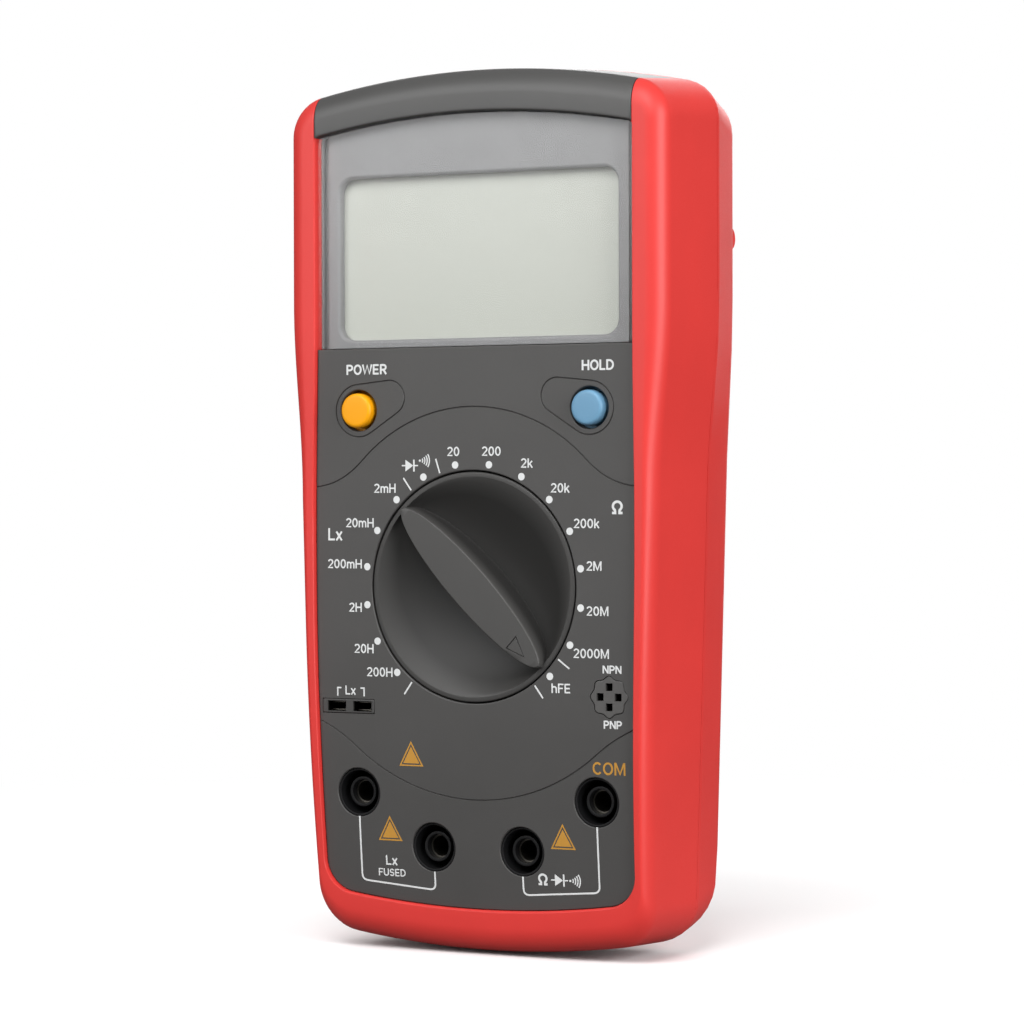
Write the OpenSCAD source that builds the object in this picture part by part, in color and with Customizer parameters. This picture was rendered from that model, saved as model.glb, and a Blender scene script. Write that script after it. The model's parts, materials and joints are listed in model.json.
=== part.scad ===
// Handheld component tester, standing upright.
// +Z is up, the printed face looks towards -Y, and x = 0 is the plane of symmetry.
// The origin is under the middle of the case: z = 0 is its lowest point and
// y = 0 is halfway between the knob's crown and the pads on the back.

/* [Case] */
// Height of the case
case_h = 172; // [171:0.5:174]
// Half width of the case at its shoulders
shoulder_hw = 41.6; // [41.4:0.1:42]
// Half width of the case at its waist
waist_hw = 39.3; // [39.1:0.1:39.6]
// Half width that the sides would reach at the foot
foot_hw = 36.6; // [36.4:0.1:37]
// Overall depth, from the knob's crown to the pads on the back
case_d = 38; // [38:0.1:38.4]
// Wall thickness of the shells
wall = 2.2; // [2:0.1:2.3]

/* [Face] */
// Distance of the face plate behind the knob's crown
crown = 1.4; // [1.2:0.1:1.5]
// Height of the bezel above the face plate
bezel_rise = 1; // [0.8:0.1:1.1]
// Height of the knob's centre
knob_z = 71; // [70.8:0.1:71.2]
// Radius of the hole that the knob turns in
knob_hole_r = 22.4; // [22.3:0.05:22.6]
// Radius of a push button
button_r = 3.35; // [3.2:0.05:3.5]
// Radius of a test-lead socket's recess
jack_recess_r = 4.7; // [4.6:0.05:4.8]
// Bore radius of a test-lead socket's sleeve, for a 4 mm plug
jack_bore_r = 2; // [2:0.01:2.05]

/* [Motion] */
// Travel of the power button
power_travel = 1.5; // [1.2:0.1:1.5]
// Radial clearance of a running shaft
run_gap = 0.05; // [0.03:0.01:0.08]

/* [Hidden] */

$fn = 64;
gap = 0.1;                                // fitting gap between separate pieces
eps = 0.01;

// Planes across the depth, front to back
y_crown = -case_d / 2;                    // knob's crown
y_face = y_crown + crown;                 // printed face
y_bezel = y_face - bezel_rise;            // front of the bezel
y_ridge = 4.4;                            // parting line of the two shells
y_pads = case_d / 2;                      // pads on the back
y_back = y_pads - 1.2;                    // flat of the back
panel_t = 2.4;
y_panel_back = y_face + panel_t;
y_ledge = y_face + 3.5;                   // ledge that carries the face plate and the window
ledge_t = 1.3;
board_t = 1.6;
y_board = -9;                             // front of the circuit board
y_board_back = y_board + board_t;

// Outline data of the case, the face plate and the back
bottom_bow = 200;                         // radius of the bowed lower edge
top_bow = 175;                            // radius of the bowed upper edge
waist_z = 88;
shoulder_z = 126;
panel_low = 8.8;
panel_top = 162.1;
window_low = 117.2;
band_hw = 34.75;
band_low = 158.5;
bend_z = 63;                              // below this height the face curves back
bend_r = 500;

// Feature positions, [x, z]
power_xz = [-25.3, 105.1];
hold_xz = [25.3, 105.1];
jack_xz = [[-26.1, 30.6], [-9.7, 20.5], [9.7, 20.5], [26.1, 30.6]];
socket_xz = [29.3, 50.6];
slot_box = [-33.7, 46.1, -22.1, 48.8];    // left, low, right, high
case_screw_xz = [[-34.6, 160], [34.6, 160], [-28.5, 10.4], [28.5, 10.4]];
board_post_xz = [[-29.5, 92], [29.5, 92], [0, 33]];
knob_pointer = 135;                       // degrees clockwise from the top, at rest
hinge_yz = [y_pads - 2.2, 138.5];
stand_foot_z = 73;
door_box = [-29, 33, 29, 69.5];           // left, low, right, high
bay_box = [-27.2, 38.4, 27.2, 66.1];
bay_front = -5.3;
bay_wall = 1.2;
door_screw_z = door_box[1] + 2.7;

function ease(t) = let (c = min(1, max(0, t))) c * c * (3 - 2 * c);
function swell(z) = ease((z - waist_z) / (shoulder_z - waist_z));
function case_hw(z) = foot_hw + (waist_hw - foot_hw) * min(z, waist_z) / waist_z
                    + (shoulder_hw - waist_hw) * swell(z);
function rear_hw(z) = case_hw(z) - 1.3 - 0.9 * swell(z);
function panel_hw(z) = 33.9 + 1.2 * ease(z / 80) - 0.4 * ease((z - 85) / 35);
function bend(z) = z < bend_z ? bend_r - sqrt(bend_r * bend_r - (bend_z - z) * (bend_z - z)) : 0;
function face_y(z) = y_face + bend(z);

// One half of an outline, from the middle of the lower edge to the middle of the upper edge:
// a bowed lower edge, a round corner, a side that follows wid(z), a round corner, a bowed upper edge
arc_steps = 6;
bow_steps = 5;
side_steps = 14;
function half_outline(wid, d, low, top, r_low, r_top) =
  let (
    r1 = max(r_low - d, 0.4),
    r2 = max(r_top - d, 0.4),
    x1 = wid(low + d + r1 + 2) - d - r1,
    x2 = wid(top - d - r2 - 3) - d - r2,
    a1 = asin(x1 / (bottom_bow - r1)),
    a2 = asin(x2 / (top_bow - r2)),
    z1 = low + d + bottom_bow - (bottom_bow - r1) * cos(a1),
    z2 = top - d - top_bow + (top_bow - r2) * cos(a2)
  )
  concat(
    [for (i = [0:bow_steps - 1]) let (a = a1 * i / bow_steps)
      [bottom_bow * sin(a), low + d + bottom_bow * (1 - cos(a))]],
    [for (i = [0:arc_steps]) let (a = -90 + a1 + (90 - a1) * i / arc_steps)
      [x1 + r1 * cos(a), z1 + r1 * sin(a)]],
    [for (i = [1:side_steps - 1]) let (z = z1 + (z2 - z1) * i / side_steps) [wid(z) - d, z]],
    [for (i = [0:arc_steps]) let (a = (90 - a2) * i / arc_steps)
      [x2 + r2 * cos(a), z2 + r2 * sin(a)]],
    [for (i = [bow_steps - 1:-1:0]) let (a = a2 * i / bow_steps)
      [top_bow * sin(a), top - d - top_bow * (1 - cos(a))]]
  );
function outline(wid, d, low, top, r_low, r_top) =
  let (half = half_outline(wid, d, low, top, r_low, r_top), n = len(half))
  concat(half, [for (i = [n - 2:-1:1]) [-half[i][0], half[i][1]]]);
function case_outline(d) = outline(function (z) case_hw(z), d, 0, case_h, 9, 8);
function panel_outline(d) = outline(function (z) panel_hw(z), d, panel_low, panel_top, 6.5, 1);
function rear_outline(d) = outline(function (z) rear_hw(z), d, 1.6, case_h - 2.4, 9, 8);
function mix(a, b, f) = [for (i = [0:len(a) - 1]) a[i] * (1 - f) + b[i] * f];
function ring(pts, y, k) = [for (p = pts) [p[0], y + k * bend(p[1]), p[1]]];
function flatten(rings) = [for (r = rings) each r];

function middle(pts) = [for (k = [0:2]) (min([for (p = pts) p[k]]) + max([for (p = pts) p[k]])) / 2];

// Skin through rings of equal length, each anticlockwise as seen from the first one:
// closed end to end like a tyre, or, when listed back to front, with a fan of triangles on each end
module skin(rings, closed) {
  n = len(rings[0]);
  m = len(rings);
  last = closed ? m - 1 : m - 2;
  sides = [for (k = [0:last], i = [0:n - 1])
    let (j = (i + 1) % n, u = (k + 1) % m)
    each [[k * n + i, u * n + i, k * n + j], [k * n + j, u * n + i, u * n + j]]];
  caps = closed ? [] : [for (i = [0:n - 1]) let (j = (i + 1) % n)
    each [[i, j, m * n], [(m - 1) * n + j, (m - 1) * n + i, m * n + 1]]];
  hubs = closed ? [] : [middle(rings[0]), middle(rings[m - 1])];
  polyhedron(points = concat(flatten(rings), hubs), faces = concat(sides, caps));
}
function backwards(list) = [for (i = [len(list) - 1:-1:0]) list[i]];

// Prism along y from a list of [x, z] points, from y0 to y1
module prism_y(pts, y0, y1) {
  translate([0, y1, 0]) rotate([90, 0, 0]) linear_extrude(y1 - y0) polygon(pts);
}
module disc_y(xz, r, y0, y1) {
  translate([xz[0], y1, xz[1]]) rotate([90, 0, 0]) cylinder(r = r, h = y1 - y0);
}
module block(x0, x1, y0, y1, z0, z1) {
  translate([x0, y0, z0]) cube([x1 - x0, y1 - y0, z1 - z0]);
}
module bar_x(y, z, r, x0, x1) {
  translate([x0, y, z]) rotate([0, 90, 0]) cylinder(r = r, h = x1 - x0);
}
// Solid of revolution about the y axis through xz, from [radius, y] points
module turned_y(xz, pts) {
  translate([xz[0], 0, xz[1]]) rotate([-90, 0, 0]) rotate_extrude() polygon(pts);
}
module rounded_prism(box, r, y0, y1) {
  x0 = box[0];
  z0 = box[1];
  x1 = box[2];
  z1 = box[3];
  corners = [[x1 - r, z1 - r, 0], [x0 + r, z1 - r, 90], [x0 + r, z0 + r, 180], [x1 - r, z0 + r, 270]];
  prism_y([for (c = corners, i = [0:5]) let (a = c[2] + 18 * i) [c[0] + r * cos(a), c[1] + r * sin(a)]],
          y0, y1);
}
function grow(box, d) = [box[0] - d, box[1] - d, box[2] + d, box[3] + d];

// ---- Case ----

fillet_f = 0.6;                           // share of the bezel that is rounded
lip_f = 0.93;
// Front half of the case before it is split into frame and top band
module front_skin() {
  side = case_outline(0);
  shoulder = outline(function (z) case_hw(z) - 0.35, 0, 0.6, case_h - 1.6, 8.6, 8);
  edge = panel_outline(0);
  ledge = panel_outline(1.5);
  y_side = y_bezel + 4;
  fillet = [for (a = [15:15:90])
    ring(mix(shoulder, edge, fillet_f * (1 - cos(a))), y_side - 4 * sin(a), 1)];
  skin(concat(
    [ring(side, y_ridge, 0), ring(side, y_ridge - 1, 0), ring(shoulder, y_side, 1)],
    fillet,
    [ring(mix(shoulder, edge, lip_f), y_bezel, 1),
     ring(mix(shoulder, edge, 1), y_bezel + 0.5, 1),
     ring(edge, y_ledge, 1),
     ring(ledge, y_ledge, 1),
     ring(ledge, y_ledge + ledge_t, 1),
     ring(case_outline(wall + 0.4), y_ledge + ledge_t, 1),
     ring(case_outline(wall), y_ridge - 2, 0),
     ring(case_outline(wall / 2), y_ridge - 2, 0),
     ring(case_outline(wall / 2), y_ridge, 0)]), true);
}

module case_boss(xz) {
  out = sign(xz[0]);
  y0 = y_ledge + ledge_t + 3;
  low = xz[1] < knob_z;
  difference() {
    union() {
      disc_y(xz, 2.6, y0, y_ridge - 0.1);
      // Web to the side wall, and on the lower pair to the lower wall
      block(min(xz[0], xz[0] + out * 5.4), max(xz[0], xz[0] + out * 5.4),
            y0, y_ridge - 2.2, xz[1] - 0.8, xz[1] + 0.8);
      if (low) block(xz[0] - 0.8, xz[0] + 0.8, y0, y_ridge - 2.2, 3.5, xz[1]);
    }
    disc_y(xz, 1.25, y0 + 1, y_ridge + 1);
  }
}

module front_shell() {
  color("#d8392f") {
    difference() {
      front_skin();
      block(-band_hw - 0.05, band_hw + 0.05, y_bezel - 1, 1, band_low, case_h + 1);
    }
    for (p = case_screw_xz) case_boss(p);
  }
}

module top_band() {
  color("#5c5b59")
  intersection() {
    front_skin();
    block(-band_hw + 0.05, band_hw - 0.05, y_bezel - 1, 0.9, band_low + 0.1, case_h + 1);
  }
}

// Plate that follows the bend of the face, between two depths behind it
bend_steps = 10;
module bent_slab(d0, d1) {
  zs = [for (i = [0:bend_steps]) bend_z * i / bend_steps];
  front = [for (z = zs) [face_y(z) + d0, z]];
  back = [for (i = [bend_steps:-1:0]) [face_y(zs[i]) + d1, zs[i]]];
  pts = concat(front, [[y_face + d0, case_h], [y_face + d1, case_h]], back);
  translate([-50, 0, 0]) rotate([90, 0, 90]) linear_extrude(100) polygon(pts);
}

module below_window(pts, y0, y1) {
  intersection() {
    prism_y(pts, y0, y1);
    block(-50, 50, y0 - 1, y1 + 1, 0, window_low - gap / 2);
  }
}

module front_panel() {
  color("#4b4948")
  difference() {
    union() {
      intersection() {
        below_window(panel_outline(gap), y_face - 1, y_face + 8);
        bent_slab(0, panel_t);
      }
      // Skirt that stands on the ledge
      intersection() {
        difference() {
          below_window(panel_outline(gap), y_face - 1, y_face + 8);
          below_window(panel_outline(1.3), y_face - 2, y_face + 9);
        }
        bent_slab(panel_t - 0.5, 3.45);
      }
      for (p = board_post_xz) disc_y(p, 2.2, y_panel_back - 0.5, y_board - 0.05);
    }
    disc_y([0, knob_z], knob_hole_r, y_face - 2, y_face + 5);
    disc_y(power_xz, 4, y_face - 2, y_face + 5);
    disc_y(hold_xz, 4, y_face - 2, y_face + 5);
    for (p = jack_xz) disc_y(p, jack_recess_r, y_face - 2, y_face + 8);
    disc_y(socket_xz, 4.05, y_face - 2, y_face + 5);
    block(slot_box[0] - 0.1, slot_box[2] + 0.1, y_face - 2, y_face + 8,
          slot_box[1] - 0.1, slot_box[3] + 0.1);
    for (p = board_post_xz) disc_y(p, 0.9, y_board - 5, y_board + 1);
  }
}

// Solid of the back half, inset by d, with its lower edge bevelled
module rear_solid(d, y0) {
  side = case_outline(d);
  corner = rear_outline(d);
  fillet_r = 2.2;
  fillet = [for (a = [0:22.5:90])
    ring(rear_outline(d + fillet_r * (1 - cos(a))), y_back - d - fillet_r * (1 - sin(a)), 0)];
  start = d > 0 ? [ring(side, y0, 0)]
                : [ring(case_outline(wall / 2 + gap), y0, 0),
                   ring(case_outline(wall / 2 + gap), y_ridge + gap, 0),
                   ring(side, y_ridge + gap, 0)];
  difference() {
    skin(backwards(concat(start, [ring(side, y_ridge + 1, 0)], fillet)), false);
    translate([-50, 0, 0]) rotate([90, 0, 90]) linear_extrude(100)
      polygon([[y_back - 8.4 - d, -1], [y_back - 2.4 - d, 12 + d / 2], [y_back - d, 30 + d / 2],
               [y_back + 5, 30 + d / 2], [y_back + 5, -1]]);
  }
}

stand_floor = y_back - 2;                 // floor of the stand's pocket
screw_seat = 9;                           // y of the case screws' seats
pocket_hw = 36.4;                         // half width of the stand's pocket and hinge barrel
barrel_r = 2.2;
pin_r = 1.35;
module stand_pocket() {
  block(-pocket_hw, pocket_hw, stand_floor, y_back + 5, 108.9, 141.4);
  block(-26.6, 26.6, stand_floor, y_back + 5, stand_foot_z - 0.6, 109.5);
  bar_x(hinge_yz[0], hinge_yz[1], barrel_r + 0.3, -pocket_hw, pocket_hw);
}

// Solid places that the hollow of the back half leaves standing
module rear_ribs() {
  // Floor under the stand
  block(-50, 50, stand_floor - 2, y_back, 107, 143.4);
  block(-29, 29, stand_floor - 2, y_back, stand_foot_z - 2.4, 109);
  // Thicker wall round the hinge barrel
  block(-50, 50, stand_floor - 4, y_back, 134.6, 142.6);
  // Screw towers
  for (p = case_screw_xz) disc_y(p, 3.3, y_ridge, y_back);
  // Frame of the battery door
  block(door_box[0] - 1.5, door_box[2] + 1.5, y_back - 4.4, y_back, door_box[1] - 1.5, door_box[3] + 1.5);
}

// Bosses at the ends of the stand's hinge, standing a little proud of the side walls
boss_out = 38.6;
module hinge_bosses() {
  for (s = [-1, 1])
    bar_x(hinge_yz[0], hinge_yz[1], barrel_r,
          min(s * pocket_hw, s * boss_out), max(s * pocket_hw, s * boss_out));
}

module rear_cover() {
  bay_walls = grow(bay_box, bay_wall);
  color("#d8392f")
  difference() {
    union() {
      difference() {
        rear_solid(0, y_ridge - 1.9);
        difference() {
          rear_solid(wall, y_ridge - 3);
          rear_ribs();
        }
        stand_pocket();
      }
      // Walls of the battery bay
      block(bay_walls[0], bay_walls[2], bay_front - bay_wall, y_back - 2.2, bay_walls[1], bay_walls[3]);
      hinge_bosses();
    }
    bar_x(hinge_yz[0], hinge_yz[1], pin_r + run_gap, -pin_end - 0.2, pin_end + 0.2);
    // Battery bay and door recess
    block(bay_box[0], bay_box[2], bay_front, y_back + 1, bay_box[1], bay_box[3]);
    rounded_prism(grow(door_box, gap), 2, y_back - 2.1, y_back + 1);
    // Slot for the battery leads
    block(23, 27, bay_front + 3, bay_front + 6.4, bay_box[3] - 1, bay_box[3] + 2);
    // Door screw hole
    disc_y([0, door_screw_z], 1.05, y_back - 6, y_back);
    for (p = case_screw_xz) {
      disc_y(p, 1.45, y_ridge - 3, y_back + 1);
      disc_y(p, 2.35, screw_seat, y_back + 1);
    }
    foot_shapes(0.08, y_back - 0.5);
  }
}

// Pads on the back; the recesses are the same shapes, grown by d
foot_boxes = [[-34.2, 42, -30.9, 60], [30.9, 42, 34.2, 60], [-24, 149, -8, 153], [8, 149, 24, 153]];
module foot_shapes(d, y0) {
  for (b = foot_boxes) rounded_prism(grow(b, d), 1.6, y0, y_pads);
}
module rear_feet() {
  color("#2b2b2b") foot_shapes(0, y_back - 0.4);
}

pin_end = 37.6;                           // half length over the stand's stub pins
module tilt_stand() {
  t0 = stand_floor + 0.2;
  t1 = y_back - 0.05;
  barrel_hw = pocket_hw - 0.3;
  color("#c9342b") {
    difference() {
      union() {
        rounded_prism([-barrel_hw, 109.3, barrel_hw, 135.7], 1.5, t0, t1);
        rounded_prism([-26, stand_foot_z, 26, 112], 4, t0, t1);
        block(-barrel_hw, barrel_hw, t0, t1, 135, hinge_yz[1]);
        bar_x(hinge_yz[0], hinge_yz[1], barrel_r, -barrel_hw, barrel_hw);
      }
      // Opening in the middle and a finger notch at the foot
      rounded_prism([-17, 84, 17, 126], 4, t0 - 1, t1 + 1);
      translate([0, t1 + 1.2, stand_foot_z]) sphere(r = 5);
    }
    // Stub pins at both ends of the barrel
    for (s = [-1, 1])
      bar_x(hinge_yz[0], hinge_yz[1], pin_r, min(s * 35, s * pin_end), max(s * 35, s * pin_end));
  }
}

module battery_door() {
  color("#c9342b")
  difference() {
    rounded_prism(door_box, 2, y_back - 2, y_back);
    disc_y([0, door_screw_z], 1.05, y_back - 3, y_back + 1);
    // Grip lines
    for (i = [0:4])
      block(-9, 9, y_back - 0.4, y_back + 1, door_box[3] - 4 - 1.6 * i, door_box[3] - 3.3 - 1.6 * i);
  }
}

// Round-headed screw along y with a cross recess: y_seat is under the head
module screw(xz, y_seat, head_r, head_h, shank_r, length) {
  difference() {
    union() {
      turned_y(xz, [[0, y_seat], [head_r, y_seat], [head_r, y_seat + head_h * 0.5],
                    [head_r * 0.7, y_seat + head_h], [0, y_seat + head_h]]);
      disc_y(xz, shank_r, y_seat - length, y_seat + eps);
    }
    for (a = [0, 90]) translate([xz[0], 0, xz[1]]) rotate([0, a, 0])
      block(-head_r * 0.55, head_r * 0.55, y_seat + head_h * 0.45, y_seat + head_h + 1, -0.25, 0.25);
  }
}
module battery_door_screw() {
  color("silver") screw([0, door_screw_z], y_back + 0.02, 1.9, 1, 1, 3.6);
}
module case_screws() {
  color("silver") for (p = case_screw_xz) screw(p, screw_seat + 0.02, 2.1, 1.6, 1.2, 12);
}

// ---- Display ----

module window_prism(d, y0, y1) {
  intersection() {
    prism_y(panel_outline(d), y0, y1);
    block(-50, 50, y0 - 1, y1 + 1, window_low + d, case_h);
  }
}
view_box = [-30.5, 118.9, 30.5, 150.5];
module display_lens() {
  color("#dfe6e8", 0.4) window_prism(gap, y_face, y_face + 1.5);
}
module display_mask() {
  color("#a3a2a2")
  difference() {
    window_prism(gap, y_face + 1.55, y_ledge - 0.05);
    window_prism(1.2, y_face + 1, y_ledge - 0.45);
    rounded_prism(view_box, 1.5, y_face, y_ledge + 1);
  }
}
lcd_box = [-31.4, 114.8, 31.4, 153.6];
y_lcd = y_ledge + 0.05;
module lcd_glass() {
  color("#d5d8cd") block(lcd_box[0], lcd_box[2], y_lcd, y_lcd + 2, lcd_box[1], lcd_box[3]);
}
module lcd_frame() {
  seat = grow(lcd_box, 0.05);
  color("#e8e8e4")
  difference() {
    block(-32.9, 32.9, y_lcd + 0.3, y_board - 0.05, 113.2, 155.6);
    block(seat[0], seat[2], y_lcd - 1, y_lcd + 2.05, seat[1], seat[3]);
    // Slots for the rubber contact strips, and the open middle
    block(-29.1, 29.1, y_lcd, y_board + 1, 115, 117);
    block(-29.1, 29.1, y_lcd, y_board + 1, 151.4, 153.4);
    block(-28, 28, y_lcd, y_board + 1, 119, 149.4);
  }
}
module zebra_strips() {
  color("#6d7f8f") for (z = [115.1, 151.5]) block(-29, 29, y_lcd + 2.05, y_board - 0.02, z, z + 1.8);
}

// ---- Selector ----

// The knob is drawn with its pointer up and its axis on the y axis, then set to its rest place
module at_knob() {
  translate([0, 0, knob_z]) rotate([0, knob_pointer, 0]) children();
}
knob_r = knob_hole_r - 0.3;
fin_half_l = 21.5;
fin_half_w = 4.75;
fin_arc_r = (fin_half_l * fin_half_l + fin_half_w * fin_half_w) / (2 * fin_half_w);
flange_front = y_face + 3;
flange_back = y_face + 5.1;
ball_y = y_face + 4.05;
ball_r = 0.8;
ball_at = 23.65;
crest_r = 24.6;
module selector_knob() {
  yf = y_face + 0.1;
  color("#3e3d3c")
  at_knob() difference() {
    union() {
      turned_y([0, 0], [
        [0, yf + 6.2], [0, yf + 4.8], [4, yf + 4.6], [8, yf + 4.1], [12, yf + 3.2], [16, yf + 1.9],
        [19, yf + 0.8], [20.6, yf + 0.1], [21.2, yf], [knob_r - 0.5, yf], [knob_r, yf + 0.5],
        [knob_r, flange_front], [23.4, flange_front], [23.4, flange_back],
        [17, flange_back], [12, yf + 5.6],
      ]);
      // Fin: the lens shape between two wide arcs
      intersection() {
        disc_y([fin_arc_r - fin_half_w, 0], fin_arc_r, y_crown + 0.6, yf + 5, $fn = 160);
        disc_y([fin_half_w - fin_arc_r, 0], fin_arc_r, y_crown + 0.6, yf + 5, $fn = 160);
      }
      intersection() {
        disc_y([fin_arc_r - fin_half_w + 0.7, 0], fin_arc_r, y_crown, yf, $fn = 160);
        disc_y([fin_half_w - fin_arc_r - 0.7, 0], fin_arc_r, y_crown, yf, $fn = 160);
      }
    }
    // Pockets of the detent balls, and the seat of the contact carrier
    for (s = [-1, 1]) translate([s * 24, ball_y, 0]) rotate([0, -90 * s, 0])
      cylinder(r = ball_r + 0.05, h = 6.4);
    disc_y([0, 0], 4, yf + 5.4, yf + 7);
  }
}
y_rotor = y_face + 6.5;
module knob_rotor() {
  color("#e6e3da")
  at_knob() difference() {
    union() {
      disc_y([0, 0], 16, y_rotor, y_rotor + 1);
      disc_y([0, 0], 3.95, y_rotor - 0.9, y_rotor + 1);
      disc_y([0, 0], 4 - run_gap, y_rotor, y_board_back + 0.4);
    }
    for (a = [0:60:300]) rotate([0, a, 0]) block(-1.1, 1.1, y_rotor - 1, y_rotor + 2, 9, 14.5);
  }
}
wiper_r = [7, 11.4, 15];
module knob_wipers() {
  y0 = y_rotor + 1.05;
  color("#c8a24a")
  at_knob() for (a = [30:60:330]) rotate([0, a, 0]) {
    block(-0.8, 0.8, y0, y0 + 0.25, 6.4, 15.4);
    for (r = wiper_r) translate([0, y0 + 0.1, r]) rotate([0, 90, 0]) translate([0, 0, -0.8])
      intersection() {
        cylinder(r = 0.85, h = 1.6);
        translate([-1, 0, 0]) cube([2, y_board - 0.05 - y0 - 0.1, 1.6]);
      }
  }
}
module detent_ring() {
  color("#d9d6cc")
  difference() {
    disc_y([0, knob_z], 27.4, y_face + 2.8, y_face + 5.6);
    disc_y([0, knob_z], crest_r, y_face + 2, y_face + 6);
    for (i = [0:19]) translate([0, 0, knob_z]) rotate([0, knob_pointer - 90 + 18 * i, 0])
      disc_y([0, crest_r], 0.9, y_face + 2, y_face + 6);
  }
}
module detent_balls() {
  color("silver") at_knob() for (s = [-1, 1]) translate([s * ball_at, ball_y, 0]) sphere(r = ball_r);
}
coil_turns = 5;
coil_steps = 10;
wire_sides = 5;
module coil(r, wire_r, h) {
  n = coil_turns * coil_steps;
  skin(backwards([for (i = [0:n]) let (a = 360 * i / coil_steps)
    [for (j = [0:wire_sides - 1]) let (b = 360 * j / wire_sides)
      [(r + wire_r * cos(b)) * cos(a), (r + wire_r * cos(b)) * sin(a), h * i / n + wire_r * sin(b)]]]),
    false);
}
module detent_springs() {
  color("silver") at_knob() for (s = [-1, 1])
    translate([s * 22.65, ball_y, 0]) rotate([0, -90 * s, 0]) coil(0.55, 0.15, 4.6);
}

// ---- Push buttons ----

module button(xz) {
  turned_y(xz, [
    [0, y_crown], [button_r - 1.3, y_crown + 0.05], [button_r - 0.5, y_crown + 0.3],
    [button_r, y_crown + 0.9], [button_r, y_face + 2.8], [4.6, y_face + 2.8], [4.6, y_face + 3.6],
    [1.9, y_face + 3.6], [1.9, y_board - 3.6], [0, y_board - 3.6],
  ]);
}
module plunger(xz) {
  disc_y(xz, 1.4, y_board - 3.55, y_board - 1.75);
}
module switch_body(xz) {
  difference() {
    block(xz[0] - 4, xz[0] + 4, y_board - 3, y_board - 0.05, xz[1] - 4, xz[1] + 4);
    disc_y(xz, 2.3, y_board - 4, y_board - 3.55 + power_travel);
    disc_y(xz, 1.4 + run_gap, y_board - 4, y_board + 1);
  }
}
module power_button() {
  color("#ffb01e") button(power_xz);
}
module hold_button() {
  color("#78a9d4") button(hold_xz);
}
module power_plunger() {
  color("white") plunger(power_xz);
}
module hold_plunger() {
  color("white") plunger(hold_xz);
}
module power_switch() {
  color("#303234") switch_body(power_xz);
}
module hold_switch() {
  color("#303234") switch_body(hold_xz);
}

// ---- Sockets ----

jack_back = 3;
jack_tube_r = 2.95;
jack_rim = 1.65;                          // depth of the inner tube's rim behind the face
module jack_tubes() {
  color("#1d1d1e") for (p = jack_xz) difference() {
    union() {
      difference() {
        disc_y(p, 5.9, face_y(p[1]) + panel_t + 0.6, jack_back);
        disc_y(p, jack_recess_r, y_face - 1, jack_back - 2);
      }
      // Inner tube, its rim standing inside the face plate's recess
      disc_y(p, jack_tube_r, face_y(p[1]) + jack_rim, jack_back);
    }
    disc_y(p, jack_bore_r + 0.35, y_face - 1, jack_back + 1);
  }
}
module jack_contacts() {
  color("#c9a24b") for (p = jack_xz) difference() {
    union() {
      disc_y(p, jack_bore_r + 0.3, face_y(p[1]) + 3.2, jack_back + 1);
      disc_y(p, 1.2, jack_back, jack_back + 2.6);
    }
    disc_y(p, jack_bore_r, y_face - 1, jack_back - 1);
  }
}

module transistor_socket() {
  y0 = face_y(socket_xz[1]);
  color("#4b4948")
  difference() {
    union() {
      disc_y(socket_xz, 3.3, y_panel_back, y_board - 0.05);
      // Scalloped head with eight lobes
      prism_y([for (a = [0:4:356]) socket_xz + (3.72 + 0.25 * cos(8 * a)) * [cos(a), sin(a)]],
              y0, y_panel_back + 1);
    }
    for (i = [0:3]) translate([socket_xz[0], 0, socket_xz[1]]) rotate([0, 90 * i, 0]) {
      block(-0.7, 0.7, y0 - 1, y0 + 3, 1.2, 2.6);
      block(-0.9, 0.9, y0 + 1.2, y_board - 0.6, 1, 2.8);
    }
  }
}
module socket_contacts() {
  y0 = face_y(socket_xz[1]) + 1.3;
  color("#c9a24b") for (i = [0:3]) translate([socket_xz[0], 0, socket_xz[1]]) rotate([0, 90 * i, 0])
    difference() {
      block(-0.85, 0.85, y0, y_board - 0.7, 1.05, 2.75);
      block(-0.7, 0.7, y0 - 1, y_board + 1, 1.2, 2.6);
    }
}

slot_x = [[-32.6, -28.4], [-26.8, -22.6]];
slot_z = [46.5, 48.3];
module slot_insert() {
  y0 = face_y(47.4);
  color("#161617")
  difference() {
    union() {
      block(slot_box[0], slot_box[2], y0, y0 + 2.2, slot_box[1], slot_box[3]);
      block(-32.9, slot_box[2], y0 + 2.2, y_board - 0.05, slot_box[1] + 0.05, slot_box[3] - 0.05);
    }
    for (x = slot_x) block(x[0], x[1], y0 - 1, y_board - 0.5, slot_z[0], slot_z[1]);
  }
}
module slot_contacts() {
  y0 = face_y(47.4) + 1.6;
  color("#c9a24b") for (x = slot_x) difference() {
    block(x[0] + 0.05, x[1] - 0.05, y0, y_board - 0.55, slot_z[0] + 0.05, slot_z[1] - 0.05);
    block(x[0] - 1, x[1] + 1, y0 - 1, y_board - 0.8, slot_z[0] + 0.25, slot_z[1] - 0.25);
  }
}

// ---- Circuit board and what it carries ----

module circuit_board() {
  color("#1f6b45")
  difference() {
    block(-32, 32, y_board, y_board_back, 14, 156.8);
    disc_y([0, knob_z], 4, y_board - 1, y_board_back + 1);
    for (p = jack_xz) disc_y(p, 6.2, y_board - 1, y_board_back + 1);
    for (p = board_post_xz) disc_y(p, 1.1, y_board - 1, y_board_back + 1);
  }
}
module board_screws() {
  color("silver") for (p = board_post_xz) screw(p, y_board_back + 0.02, 1.8, 1.2, 0.85, 5.2);
}
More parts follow.
